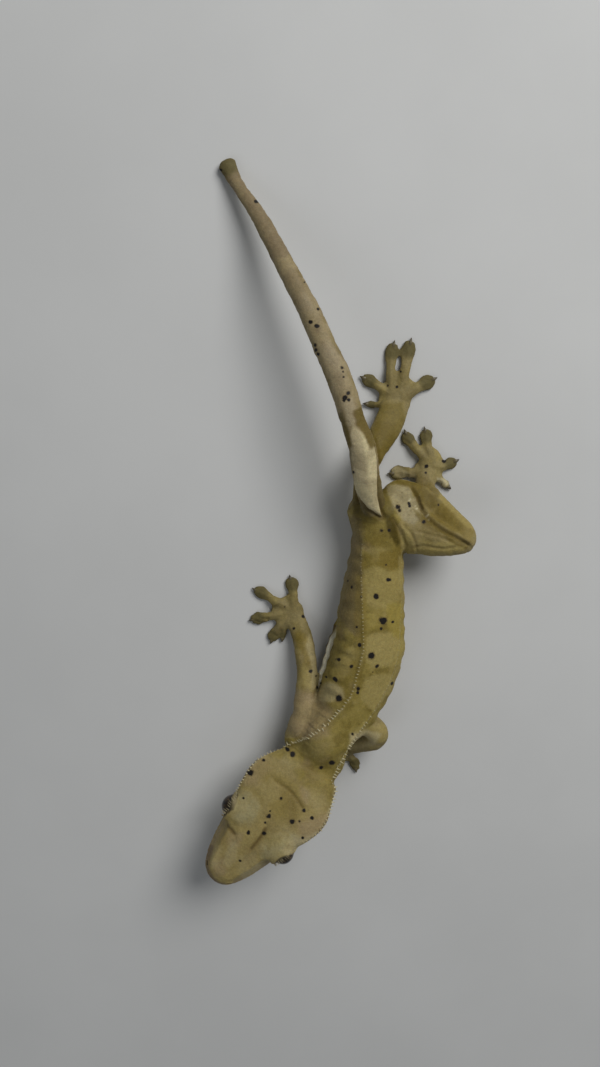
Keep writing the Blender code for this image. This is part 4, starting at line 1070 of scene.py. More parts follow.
def shape(co, normal, info, lines):
    """Moves the skin's points along its normals: ridges, folds, lips, nostrils, ears and wrinkles."""
    h, head = info["h"], info["head"]
    x, y, z = h[:, 0], np.abs(h[:, 1]), h[:, 2]
    uv, seen_here = info["uv"], info["seen"]
    move = np.zeros(len(co))

    # the mouth, with its lips divided into plates
    d = z - lip_level(x)
    open_ = step(-9.6, -7.5, x) * head
    lips = open_ * step(3.0, 4.5, np.hypot(np.maximum(x - 12.5, 0) * 1.2, y))
    move -= 0.34 * bell(d, 0.20) * lips
    move += 0.15 * bell(np.abs(d) - 0.62, 0.34) * lips
    along = x - 0.9 * np.maximum(4.0 - y, 0) * step(11, 15, x)
    plates = np.abs(np.sin(along * math.pi / 1.15 + np.where(d > 0, 0.0, 1.1)))
    move -= 0.10 * bell(plates, 0.22) * step(0.15, 0.3, np.abs(d)) * step(1.35, 1.0, np.abs(d)) * lips
    move -= 0.07 * bell(np.abs(d) - 1.3, 0.16) * lips

    # nostrils, ear openings, the ridges of the snout and the hollows beside them
    r = np.minimum(*(np.linalg.norm(co - q, axis=1) for q in lines["nostril"]))
    info["nostril"] = r
    move += (0.22 * bell(r - 0.74, 0.26) - 0.70 * bell(r, 0.40)) * head
    r = np.hypot((x + 13.4) / 0.75, (z + 2.2) / 1.25)
    ear = step(7.0, 8.0, y) * head
    move += (0.16 * bell(r - 1.35, 0.4) - 0.95 * step(1.15, 0.5, r)) * ear
    ridge = np.interp(x, (1.5, 5, 9, 13), (6.1, 5.1, 4.0, 2.9))
    above = step(-1.2, 0.4, z)
    move += 0.30 * bell(y - ridge, 0.65) * step(1.0, 3.0, x) * step(14.5, 12.5, x) * above * head
    move -= 0.26 * bell(y - 0.55 * ridge, 0.8) * step(2.0, 4.5, x) * step(13.5, 11.5, x) * above * head
    move -= 0.40 * bell(y - 2.3, 1.3) * bell(x + 1.0, 3.4) * above * head
    # the bulging back of the skull and the cheek muscles
    move += 0.40 * bell(np.hypot((x + 8.8) / 4.2, (y - 4.2) / 2.8), 1.0) * above * head
    move -= 0.36 * bell(y, 1.0) * step(-2, -6, x) * above * head
    move += 0.30 * bell(np.hypot((x + 9.0) / 3.6, (z + 3.4) / 2.2), 1.0) * step(7, 8.5, y) * head
    # the brow that hangs over the eye, the ring of the lid and the hollow in front of the eye
    ex, ey, ez = EYE_PLACE
    eye = np.linalg.norm(np.stack([x - ex, y - ey, z - ez], 1), axis=1)
    over = step(-0.2, 0.7, (z - ez) / EYE_RADIUS)
    move += 0.62 * bell(eye - (EYE_RADIUS + 0.35), 0.55) * over * step(6.6, 7.8, y) * head
    move += 0.20 * bell(eye - (EYE_RADIUS + 0.40), 0.30) * step(8.0, 9.0, y) * head
    move -= 0.34 * bell(np.hypot((x - 4.6) / 1.8, (z - 0.6) / 1.6), 1.0) * step(4.8, 6.0, y) * head
    for k, line in enumerate(lines["head"]):
        move -= (0.26 if k < 3 else 0.12) * bell(to_line(co, line)[0], 0.60)
    for dome in DOMES:
        off = outside(uv, dome)
        move += (0.24 * step(4.0, -14.0, off) - 0.10 * bell(off - 2.0, 3.0)) * seen_here * head

    # the crests, from behind the eyes to the rump
    for name in ("crest", "crest_left"):
        far, where = to_line(co, lines[name])
        tall = np.interp(where, (0, 0.12, 0.3, 0.6, 1.0), (0.10, 0.22, 0.34, 0.24, 0.06))
        move += tall * bell(far, 0.45)
        strip = bell(far, 0.36) * np.interp(where, (0, 0.15, 0.4, 0.75, 1.0), (0.2, 0.5, 0.6, 0.38, 0.10))
        info["crest"] = strip if name == "crest" else np.maximum(info["crest"], strip * np.interp(where, (0.35, 0.5), (1.0, 0.25)))
    # the fold of loose skin low on the flank
    far, where = sheet_line(uv, FLANK_FOLD)
    far = far / 4.1 + 3.0 * (1 - np.minimum(1, seen_here * 6))
    ends = step(0.0, 0.08, where) * step(1.0, 0.80, where) * info["is"]["trunk"]
    move += 0.45 * bell(far, 0.55) * ends
    info["fold"] = step(0.64, 0.42, far) * ends
    # where the shank lies against the thigh
    far, where = to_line(co, lines["thigh"])
    across = np.einsum("ij,ij->i", co - info["thigh_foot"](co), np.array([[0.72, 0.69, 0.0]]))
    move += (0.40 * step(2.6, 0.4, far) * step(-0.1, 0.35, across) - 0.50 * bell(far + 0.25 * np.sign(across), 0.34)) * step(0.0, 0.08, where)
    info["crease"] = bell(far, 0.42) * step(0.0, 0.1, where)
    far, where = to_line(co, lines["hip"])
    move -= 0.60 * bell(far, 0.55)
    info["crease"] = np.maximum(info["crease"], 0.8 * bell(far, 0.5))
    # the tongue over the root of the tail stands above the rump, with a ridge along it
    rear = step(-14, -9, co[:, 1]) * step(34.0, 30.0, co[:, 1]) * step(4.0, 6.0, co[:, 2]) * seen_here
    down = uv[:, 1]
    off = outside(uv, TONGUE)
    right = step(-2.0, 2.0, uv[:, 0] - np.interp(down, [v for _, v in TONGUE_RIDGE], [u for u, _ in TONGUE_RIDGE]))
    open_at = right * step(426, 448, down) + (1 - right) * step(466, 492, down)
    low = step(430, 505, down)
    far = sheet_line(uv, TONGUE_RIDGE)[0] / 4.1
    move += 0.14 * bell(far, 0.9) * step(2.0, -2.0, off) * step(424, 444, down) * rear
    move += (0.16 * step(1.0, -2.5, off) - (0.28 + 0.50 * low) * bell(off - 1.8, 1.7)) * open_at * rear
    info["tongue"] = step(1.2, -0.8, off) * rear * step(416, 440, down)
    info["tongue_bright"] = right
    info["tongue_edge"] = bell(off - 1.8, 1.6) * open_at * (0.4 + 0.6 * low) * rear
    for line in THIGH_CREASES:
        far, where = sheet_line(uv, line)
        ends = step(0.0, 0.15, where) * step(1.0, 0.85, where)
        move += (0.08 * bell(far / 4.1 - 0.7, 0.4) - 0.13 * bell(far / 4.1, 0.32)) * ends * seen_here * (1 - info["foot"])

    # loose skin: slanting folds on the flanks, wrinkles over the tail, the limbs and the throat
    s, a, b, _ = info["at"]["trunk"].T
    flank = info["is"]["trunk"] * step(0.45, 0.8, np.abs(a)) * step(0.95, 0.6, b)
    waves = np.stack([(s + 3.2 * b) / 1.5, a * 1.2, b * 1.0], 1)
    move += 0.16 * layered(waves, 1.0, 5, 2) * flank
    move += 0.12 * np.sin(s * 2 * math.pi / 4.1 + 1.5 * noise(co, 6.0, 3)) * flank
    neck = info["is"]["trunk"] * step(74, 86, s)
    move += 0.22 * noise(np.stack([(s + 2 * a) / 1.4, a * 1.5, b], 1), 1.0, 9) * neck
    # skin that sags between the hip and the last rib, and faint hollows between ribs
    move -= 0.30 * bell(np.hypot((s - 12) / 5.0, (np.abs(a) - 0.9) / 0.4), 1.0) * info["is"]["trunk"]
    s, a, b, _ = info["at"]["tail"].T
    tail = info["is"]["tail"]
    move += (0.09 * noise(np.stack([s / 1.3, a * 0.8, b * 0.8], 1), 1.0, 11) - 0.08 * bell(np.sin(s * math.pi / 4.6), 0.10)) * tail
    for k, name in enumerate(LIMBS):
        s, a, b, _ = info["at"][name].T
        limb = info["is"][name] * (1 - info["foot"])
        move += 0.17 * layered(np.stack([(s + 0.9 * a) / 1.6, a * 0.7, b * 0.7], 1), 1.0, 20 + k, 2) * limb
    under = step(0.0, -0.5, info["up"])
    move += 0.07 * np.sin((x + 0.4 * noise(co, 3.0, 4)) * 2 * math.pi / 1.7) * under * head * step(8, 2, x)
    # knuckles, the channels between the toes and the rough pads
    move += 0.06 * noise(co, 0.8, 31) * info["foot"]
    for toes in TOES.values():
        for start, bend, pad, claw, wide in toes:
            near = sheet_line(uv, (start, bend, pad))[0] / 4.2
            move += 0.14 * bell(near, 0.42) * info["foot"] * seen_here
    # slight unevenness all over, and grains of skin that a hand lens would show
    move += 0.10 * layered(co, 3.2, 41, 2) * (1 - 0.5 * head)
    move += 0.030 * noise(co, 0.62, 43) + 0.020 * noise(co, 0.40, 44)
    return co + normal * move[:, None]


def markings(co, normal, info, lines, surface):
    """The coat's colour at every point of the skin, with how black and how much of a toe pad it is."""
    rng = np.random.default_rng(7)
    h, head = info["h"], info["head"]
    x, y, z = h[:, 0], np.abs(h[:, 1]), h[:, 2]
    up, uv, here = info["up"], info["uv"], info["seen"]
    rough = layered(co, 1.6, 51, 3)
    fine = layered(co, 0.8, 55, 2)
    broad = layered(co, 5.0, 71, 2)
    ragged = 0.16 * noise(co, 0.55, 61) + 0.10 * noise(co, 0.3, 62)

    # black spots, as how far inside the nearest one each point is
    dark = np.full(len(co), -1.0)
    marks = [(surface.under(u, v)[0], r) for u, v, r in SPOTS]
    ragged += 0.26 * noise(co, 0.9, 63)
    for (u, v, r), (p, _) in zip(SPOTS, marks):
        near = np.nonzero((np.abs(co - p).max(1) < r * 2.2 + 1.0) & (here > 0.02))[0]
        d = np.linalg.norm(uv[near] - np.array([u, v]), axis=1) / 4.15
        d = np.maximum(d, 0.62 * np.linalg.norm(co[near] - p, axis=1) - 0.35) / (0.94 * r)
        dark[near] = np.maximum(dark[near], 1.0 - d - ragged[near] / max(r, 0.4) * 0.8)
    given = len(marks)
    extra = 0
    for i in rng.permutation(len(co)):
        if extra >= 44:
            break
        p, n = co[i], normal[i]
        if (EYE_OVER - p) @ n > -10.0 or n[2] < -0.75 or info["foot"][i] > 0.3:
            continue
        if any(np.linalg.norm(p - q) < 3.6 for q, _ in marks):
            continue
        marks.append((p, float(rng.choice((0.3, 0.4, 0.5, 0.65, 0.8)))))
        extra += 1
    for p, r in marks[given:]:
        near = np.nonzero(np.abs(co - p).max(1) < r * 2.2 + 0.4)[0]
        d = np.linalg.norm(co[near] - p, axis=1) / r
        dark[near] = np.maximum(dark[near], 1.0 - d - ragged[near] / max(r, 0.4) * 0.8)

    colour = np.empty((len(co), 3))
    colour[:] = BUFF

    def over(tone, amount):
        k = np.clip(amount, 0, 1)[:, None]
        colour[:] = colour * (1 - k) + np.array(tone) * k

    names = list(RUNS)
    ss, aa, bb, _ = info["at"]["trunk"].T
    trunk = info["is"]["trunk"]
    ts, ta, tb, _ = info["at"]["tail"].T
    tail = info["is"]["tail"]
    limbs = sum(info["is"][n] for n in LIMBS)
    # olive and tan ground in cloudy patches
    ground = 0.55 + 0.45 * broad + 0.38 * rough + 0.26 * fine
    ground += trunk * 0.10 * step(0.4, 0.9, aa) * step(-0.3, 0.3, bb)
    over(TAN, step(0.05, 0.5, ground))
    over(OLIVE, 0.85 * step(0.42, 1.05, ground))
    # rosier flesh here and there
    over(ROSY, 0.35 * step(0.15, 0.7, layered(co, 3.4, 75, 2)))
    # the parts' own tints
    over(TAIL_TONE, 0.88 * tail * step(-2, 4, ts))
    over(TAIL_DARK, tail * step(0.05, 0.75, layered(np.stack([ts / 3.2, ta * 0.9, tb * 0.9], 1), 1.0, 77, 2) + 0.30 * step(46, 84, ts)) * 0.75)
    over(TAIL_DARK, 0.55 * tail * step(84, 102, ts))
    over(TAIL_PALE, tail * step(0.1, 0.8, noise(np.stack([ts / 6.0, ta * 0.7, tb * 0.7], 1), 1.0, 79)) * 0.45 * step(84, 60, ts))
    edge = tail * step(0.55, 0.9, np.abs(ta)) * step(-0.2, 0.4, noise(np.stack([ts / 1.6, ta, tb], 1), 1.0, 78))
    over(OLIVE, 0.45 * edge)
    over(HEAD_TONE, 0.90 * head * step(-19, -15, x))
    over(HEAD_DARK_TONE_AND_SHADE, 0.40 * head * step(0.0, 0.7, rough + 0.4 * broad))
    over(LIMB, 0.60 * limbs)
    over(OLIVE, 0.48 * limbs * step(0.0, 0.35, layered(co, 3.0, 91, 2)))
    over(BUFF, 0.60 * limbs * step(0.12, 0.45, layered(co, 2.6, 93, 2)))

    # areas given on the sheet, each only where the eye over the animal sees the skin
    wavy = 1.6 * noise(co, 1.1, 95) + 0.8 * noise(co, 0.5, 96)
    body = np.clip(1 - tail * step(4, 8, ts), 0, 1) * (1 - head)

    edge_seen = np.minimum(1, here * 4 + 0.15)

    def area(outline, soft, ragged_by=1.0):
        return step(soft, -soft, outside(uv, outline) + ragged_by * wavy) * here

    for outline, soft, much in BLOTCHES:
        over(BLOTCH, much * area(outline, soft) * body)
    # olive smudges, and painted shade
    for outline, soft, much in OLIVE_SMUDGES_AND_SHADE:
        over(OLIVE, much * area(outline, soft) * body)
    for outline, soft, much in YELLOWS:
        over(YELLOW, much * area(outline, soft) * body)
    for outline, soft, much in DEEPS:
        over(DEEP, much * area(outline, soft) * body)
    # painted shade along the creases of the thigh
    for line in THIGH_CREASES:
        far, where = sheet_line(uv, line)
        over(BROWNISH, 0.28 * bell(far / 4.1, 0.30) * step(0.0, 0.15, where) * step(1.0, 0.85, where) * here * body)
    # painted shade over the shaded left flank
    over(FLANK_SHADE, 0.62 * step(2.5, -2.5, outside(uv, FLANK_SHADE_OUTLINE) + wavy) * edge_seen * body)
    # the same sort of blotches on the side that the sheet doesn't show
    far_side = trunk * (1 - here) * step(-0.75, -0.2, bb)
    over(BLOTCH, 0.7 * far_side * step(0.15, 0.35, layered(co, 4.4, 97, 2)))

    # the head: brow domes with painted shade round their borders, rosy and brown clouds, pale ridge and streaks
    for outline, soft, much in HEAD_BROWN:
        over(BROWNISH, much * area(outline, soft) * head)
    for outline, soft, much in HEAD_ROSY:
        over(ROSY, much * area(outline, soft) * head)
    for outline, soft, much in HEAD_LIGHT:
        over(CREAM, much * area(outline, soft, 0.5) * head)
    for dome in DOMES:
        off = outside(uv, dome)
        patchy = step(-0.5, 0.35, layered(co, 1.9, 103, 2))
        over(BROW, (0.52 + 0.32 * patchy) * step(4.0, -9.0, off + 1.6 * wavy) * here * head)
        # painted shade round the dome's border
        over(HEAD_DARK_TONE_AND_SHADE, 0.45 * bell(off - 1.5, 2.0) * step(-0.2, 0.3, rough) * here * head)
    side = head * step(0.6, -0.8, z) * step(3.5, 5.0, np.hypot(np.maximum(x - 12, 0), y))
    over(HEAD_SIDE, 0.55 * side * step(-3.0, -1.2, z))
    over(ROSY, 0.45 * side * step(-0.2, 0.5, rough))
    for k, path in enumerate(HEAD_LINES):
        far, where = sheet_line(uv, path)
        far = far / 4.1
        over(LINE, (0.88, 0.92, 0.85, 0.45, 0.45)[k] * bell(far + 0.18 * rough, (0.50, 0.50, 0.40, 0.9, 1.1)[k]) * step(0.0, 0.12, where) * here)
    far, where = sheet_line(uv, SNOUT_RIDGE)
    far = far / 4.1
    over(CREAM, 0.40 * bell(far, 0.50) * step(0.0, 0.3, where) * step(1.0, 0.6, where) * here)

    over(JAW, 0.60 * step(2.0, -1.0, outside(uv, JAW_EDGE) + 0.5 * wavy) * np.minimum(1, here * 3 + 0.2) * head)
    # streaks down the neck from the head's corners
    neck = trunk * step(70, 80, ss) + head * step(-15, -18, x)
    streak = noise(np.stack([ss / 5.0, aa * 3.4 + ss * 0.16, bb * 0.5], 1), 1.0, 99)
    over(BROWNISH, 0.55 * neck * step(0.1, 0.6, streak) * step(-0.2, 0.4, bb))

    # the root of the tail with painted shade on its left half, down its left side and in the groove round it, the
    # speckled patch of the hip and the brown one on the tail
    over(TONGUE_PALE, 0.92 * info["tongue"])
    # painted shade on the tongue's left half, the side away from the lamp
    over(TONGUE_SHADE, 0.85 * info["tongue"] * (1 - info["tongue_bright"]))
    over(TAIL_TONE, 0.40 * info["tongue"] * step(0.05, 0.45, noise(np.stack([ts / 2.2, ta * 1.6, tb], 1), 1.0, 105)))
    over(TAIL_PALE, 0.6 * area(TAIL_RIGHT, 2.0) * tail)
    # painted shade down the left side of the tail's root
    over(TAIL_SPECK_AND_SHADE, 0.85 * step(1.8, -1.5, outside(uv, TAIL_LEFT_SHADE) + 0.5 * wavy) * edge_seen * (tail + body).clip(0, 1))
    over(TAIL_DARK, 0.70 * area(TAIL_END, 3.0) * tail)
    over(BROWNISH, 0.85 * area(TAIL_PATCH, 2.0) * tail)
    # painted shade in the groove round the tongue
    over(BROWNISH, 0.90 * info["tongue_edge"])
    over(SPECKLE, 0.75 * area(SPECKLED, 2.2) * body)
    speck = step(0.25, 0.5, noise(co, 0.55, 101)) * area(SPECKLED, 3.0) * body
    over(TAIL_SPECK_AND_SHADE, 0.45 * speck)
    for u, v in FLAKES:
        d = np.linalg.norm(uv - np.array([u, v]), axis=1)
        over(WHITE, 0.9 * step(2.0, 0.9, d + 0.7 * np.abs(wavy)) * here * body)

    # pale belly, throat and inner limbs, and the pale lip of the lower jaw
    below = step(-0.10, -0.65, up) * (1 - info["foot"])
    over(BELLY, 0.85 * below)
    over(BELLY, 0.35 * head * step(-5.2, -6.2, z))
    # the crests' dots, the fold on the flank with painted shade beside it, and painted shade in the creases of the
    # thigh and the hip
    over(WHITE, 0.62 * info["crest"] * step(-0.10, 0.35, noise(co, 0.75, 82)))
    over(FOLD, 0.95 * info["fold"] * step(-0.95, -0.5, noise(co, 0.9, 81)))
    over(BROWN, 0.80 * step(1.2, -0.8, outside(uv, FOLD_SHADE_OUTLINE) + 0.2 * wavy) * edge_seen * trunk * (1 - info["fold"]))
    # painted shade in the creases of the thigh and the hip
    over(BROWN, 0.62 * info["crease"])
    # hands and feet, and their pads
    over(FOOT, 0.62 * info["foot"])
    over(BUFF, 0.35 * info["foot"] * step(0.1, 0.6, rough))
    over(PAD, 0.92 * info["pad"])
    # markings, and painted light and painted shade
    for tone, outline, soft, much in MARK_AND_LIGHT_TOUCHES:
        over(tone, much * step(soft, -soft, outside(uv, outline) + 0.35 * wavy) * edge_seen)
    # the mouth, the pale rims of the lids, and painted shade in the eye sockets, the nostrils and the ear openings
    over(BROWN, 0.90 * bell(z - lip_level(x), 0.24) * step(-9.6, -8, x) * head)
    over(LIP, 0.35 * bell(np.abs(z - lip_level(x)) - 0.75, 0.45) * step(-9.6, -7, x) * head)
    ex, ey, ez = EYE_PLACE
    eye = np.linalg.norm(np.stack([x - ex, y - ey, z - ez], 1), axis=1)
    over(CREAM, 0.5 * bell(eye - (EYE_RADIUS + 0.75), 0.3) * head * step(7.5, 8.5, y))
    over(RECESS_SHADE, 0.95 * step(EYE_RADIUS + 0.46, EYE_RADIUS + 0.16, eye) * head)
    over(RECESS_SHADE, 0.95 * step(0.55, 0.25, info["nostril"]) * head)
    r = np.hypot((x + 13.4) / 0.75, (z + 2.2) / 1.25)
    over(RECESS_SHADE, 0.9 * step(1.1, 0.7, r) * step(7.0, 8.0, y) * head)
    return {"tint": colour, "dark": dark, "pad": np.clip(info["pad"] + 0.3 * info["foot"], 0, 1)}


def give(me, key, value):
    """Stores a number or a colour at each point of a mesh."""
    if value.ndim == 2:
        a = me.attributes.new(key, "FLOAT_COLOR", "POINT")
        a.data.foreach_set("color", np.concatenate([value, np.ones((len(value), 1))], 1).astype(np.float32).ravel())
    else:
        a = me.attributes.new(key, "FLOAT", "POINT")
        a.data.foreach_set("value", value.astype(np.float32))


# ------------------------------------------------------------ small coat parts
class Atlas:
    """Gives every scale its own square on the bake sheet, near its root's place on the unrolled skin."""

    CELL = 0.0042

    def __init__(self):
        self.taken = set()

    def place(self, co):
        """Across and down on the unrolled skin: the trunk, head, tail and each limb have a field of their own."""
        h = (co - HEAD_ZERO) @ HEAD_AXES
        head = (h[:, 0] > -20) & (np.abs(h[:, 1]) < 14) & (h[:, 2] > -9.5)
        names = list(RUNS)
        near = np.stack([RUNS[n].at(co) for n in names], 1)
        which = near[:, :, 3].argmin(1)
        fields = {"trunk": (0.02, 0.48, 0.02, 0.48), "tail": (0.02, 0.98, 0.54, 0.66)}
        for k, n in enumerate(LIMBS):
            fields[n] = (0.02 + 0.245 * k, 0.235 + 0.245 * k, 0.70, 0.98)
        out = np.zeros((len(co), 2))
        for k, n in enumerate(names):
            m = (which == k) & ~head
            u0, u1, v0, v1 = fields[n]
            s, a, b, _ = near[m, k].T
            turn = np.arctan2(a, b) / (2 * math.pi) + 0.5
            out[m] = np.stack([u0 + (u1 - u0) * np.clip(s / RUNS[n].s[-1], 0, 1), v0 + (v1 - v0) * turn], 1)
        turn = np.arctan2(h[head, 1], h[head, 2] + 2.0) / (2 * math.pi) + 0.5
        out[head] = np.stack([0.52 + 0.46 * np.clip((h[head, 0] + 20) / 37, 0, 1), 0.02 + 0.46 * turn], 1)
        return out

    def cells(self, co):
        """The lower left corner of a free square for each root."""
        want = np.floor(self.place(co) / self.CELL).astype(int)
        most = int(0.99 / self.CELL)
        out = np.empty((len(co), 2))
        for i, (a, b) in enumerate(want):
            reach = 0
            while True:
                ring = [(a + dx, b + dy) for dx in range(-reach, reach + 1) for dy in range(-reach, reach + 1) if max(abs(dx), abs(dy)) == reach]
                free = [c for c in ring if c not in self.taken and 1 <= c[0] < most and 1 <= c[1] < most]
                if free:
                    self.taken.add(free[0])
                    out[i] = free[0]
                    break
                reach += 1
        return out * self.CELL


def upright(normal):
    """Two directions square to each normal."""
    other = np.where(np.abs(normal[:, 2:3]) > 0.8, np.array([[1.0, 0, 0]]), np.array([[0, 0, 1.0]]))
    x = np.cross(other, normal)
    x /= np.linalg.norm(x, axis=1)[:, None]
    return x, np.cross(normal, x)


def studs(name, root, normal, out, radius, rings, sides, sink, values, stretch=None, along=None):
    """Closed points or domes, all joined in one mesh.

    Each stands on its root. The rings are (share of its height, share of its
    radius); out is the way its tip goes, as a vector of its own length.
    """
    count = len(root)
    x, y = upright(normal)
    if along is not None:
        x = along - (along * normal).sum(1)[:, None] * normal
        x /= np.linalg.norm(x, axis=1)[:, None] + 1e-9
        y = np.cross(normal, x)
    turn = np.linspace(0, 2 * math.pi, sides, endpoint=False)
    wide = np.ones(count) if stretch is None else stretch
    levels = [(-sink, 1.0), *rings]
    co, flat = [], []
    half = Atlas.CELL * 0.36
    for k, (high, share) in enumerate(levels):
        at = root - normal * sink * radius[:, None] if k == 0 else root + out * high
        size = radius * share
        for t in turn:
            co.append(at + x * (size * wide * math.cos(t))[:, None] + y * (size * math.sin(t))[:, None])
            r = half * (1.0 - 0.9 * k / len(levels))
            flat.append((half * 1.1 + r * math.cos(t), half * 1.1 + r * math.sin(t)))
    co.append(root + out)
    flat.append((half * 1.1, half * 1.1))
    co = np.stack(co, 1)
    per = co.shape[1]
    faces, corners = [], []
    for k in range(len(levels) - 1):
        for i in range(sides):
            j = (i + 1) % sides
            faces.append((k * sides + i, k * sides + j, (k + 1) * sides + j, (k + 1) * sides + i))
            corners.append([flat[c] for c in faces[-1]])
    top = (len(levels) - 1) * sides
    for i in range(sides):
        j = (i + 1) % sides
        faces.append((top + i, top + j, per - 1))
        corners.append([flat[c] for c in faces[-1]])
    faces.append(tuple(range(sides - 1, -1, -1)))
    small = half * 0.22
    corners.append([(half * 2.45 + small * math.cos(turn[c]), half * 2.45 + small * math.sin(turn[c])) for c in faces[-1]])
    loops = np.array([c for f in faces for c in f])
    totals = np.array([len(f) for f in faces])
    cell = Atlas.shared.cells(root)
    uv = np.array([c for f in corners for c in f])[None] + cell[:, None, :]
    me = bpy.data.meshes.new(name)
    me.vertices.add(count * per)
    me.vertices.foreach_set("co", (co.reshape(-1, 3) * MM).astype(np.float32).ravel())
    me.loops.add(count * len(loops))
    me.loops.foreach_set("vertex_index", (loops[None] + np.arange(count)[:, None] * per).astype(np.int32).ravel())
    me.polygons.add(count * len(faces))
    totals = np.tile(totals, count)
    me.polygons.foreach_set("loop_start", np.concatenate([[0], np.cumsum(totals)[:-1]]).astype(np.int32))
    me.polygons.foreach_set("loop_total", totals.astype(np.int32))
    me.update(calc_edges=True)
    me.uv_layers.new(name="OFBake").data.foreach_set("uv", uv.astype(np.float32).ravel())
    me.shade_smooth()
    o = bpy.data.objects.new(name, me)
    bpy.context.scene.collection.objects.link(o)
    for key, value in values.items():
        give(me, key, np.repeat(value, per, axis=0))
    return o


class Roots:
    """Looks up places on the finished skin, with its normals and its markings there."""

    def __init__(self, o, co, normal, masks):
        self.co, self.normal, self.masks = co, normal, masks
        self.tree = KDTree(len(co))
        for i, c in enumerate(co):
            self.tree.insert(c, i)
        self.tree.balance()

    def at(self, where):
        i = np.array([self.tree.find(p)[1] for p in where])
        n = self.normal[i]
        # the place's own foot on the skin, not only the nearest point's
        away = ((where - self.co[i]) * n).sum(1)
        return where - away[:, None] * n, n, {k: m[i].copy() for k, m in self.masks.items()}


def evenly(line, gap):
    """Places along a bent line at an even gap."""
    line = np.array(line, float)
    long = np.concatenate([[0.0], np.cumsum(np.linalg.norm(np.diff(line, axis=0), axis=1))])
    s = np.arange(gap / 2, long[-1], gap)
    out = np.stack([np.interp(s, long, line[:, k]) for k in range(3)], 1)
    way = np.gradient(out, axis=0)
    return out, way / np.linalg.norm(way, axis=1)[:, None], s / long[-1]


def crest_points(roots, lines):
    """The rows of soft points from behind the eyes over the neck and down both sides of the back."""
    rng = np.random.default_rng(11)
    root, normal, out, wide, values = [], [], [], [], []
    for name in ("crest", "crest_left"):
        at, way, where = evenly(lines[name], 0.86)
        feet, n, v = roots.at(at + rng.normal(0, 0.02, at.shape))
        side = np.cross(way, n)
        # away from the middle of the back
        middle = np.array([RUNS["trunk"].c[((RUNS["trunk"].c - p) ** 2).sum(1).argmin()] for p in feet])
        h = (feet - HEAD_ZERO) @ HEAD_AXES
        in_front = h[:, 0] > -16
        mid_head = np.array([in_head(x, 0, 3) for x in h[:, 0]])
        middle[in_front] = mid_head[in_front]
        side = side * np.sign((side * (feet - middle)).sum(1))[:, None]
        if name == "crest":
            tall = np.interp(where, (0, 0.07, 0.16, 0.22, 0.30, 0.42, 0.55, 0.75, 1.0), (0.72, 0.74, 0.66, 0.98, 1.25, 1.12, 0.56, 0.38, 0.22))
        else:
            tall = np.interp(where, (0, 0.07, 0.16, 0.22, 0.30, 0.42, 0.55, 0.75, 1.0), (0.62, 0.90, 0.98, 1.10, 1.10, 0.75, 0.36, 0.26, 0.16))
        tall = tall * rng.uniform(0.80, 1.12, len(feet))
        over_head = step(-19.5, -15.0, h[:, 0])[:, None]
        lean = side * (0.95 - 0.80 * over_head) + n * (0.40 + 0.55 * over_head) + way * rng.normal(0.0, 0.05, (len(feet), 1))
        lean /= np.linalg.norm(lean, axis=1)[:, None]
        v["dark"][:] = -1.0
        k = np.interp(where, (0, 0.2, 0.42, 0.55, 1.0), (0.92, 0.95, 0.75, 0.55, 0.35))[:, None]
        # the first points of the left row stay dark: painted shade where that row lies in shade
        if name == "crest_left":
            k = k * np.interp(where, (0.05, 0.10, 0.35, 0.5), (0.1, 1.0, 1.0, 0.5))[:, None]
        v["tint"] = v["tint"] * (1 - k) + np.array(WHITE) * k
        root.append(feet)
        normal.append(n)
        out.append(lean * tall[:, None])
        wide.append(np.clip(0.13 * tall + 0.08, 0.11, 0.23))
        values.append(v)
    root, normal, out, wide = (np.concatenate(k) for k in (root, normal, out, wide))
    values = {k: np.concatenate([v[k] for v in values]) for k in values[0]}
    return studs("crest_points", root, normal, out, wide, ((0.18, 0.86), (0.50, 0.55), (0.80, 0.26)), 8, 0.6, values)


def lashes(roots):
    """The row of soft points over each eye."""
    rng = np.random.default_rng(12)
    ex, ey, ez = EYE_PLACE
    root, out = [], []
    for side in (1, -1):
        for k in range(19):
            t = math.radians(-84 + 168 * k / 18)  # 0 is straight up over the eye
            rim = EYE_RADIUS + 0.62
            p = np.array([ex + rim * math.sin(t), side * (ey + 1.25 - 0.35 * abs(math.sin(t))), ez + rim * math.cos(t)])
            way = HEAD_AXES @ np.array([0.35 * math.sin(t), side * 1.0, 0.05 * math.cos(t) - 0.10])
            tall = (1.15 - 0.45 * abs(math.sin(t)) ** 2) * rng.uniform(0.75, 1.1)
            root.append(in_head(*p))
            out.append(way / np.linalg.norm(way) * tall)
    feet, n, v = roots.at(np.array(root))
    v["dark"][:] = -1.0
    v["tint"][:] = LASH
    return studs("lashes", feet, n, np.array(out), np.full(len(feet), 0.105), ((0.2, 0.88), (0.5, 0.58), (0.82, 0.28)), 8, 0.8, v)


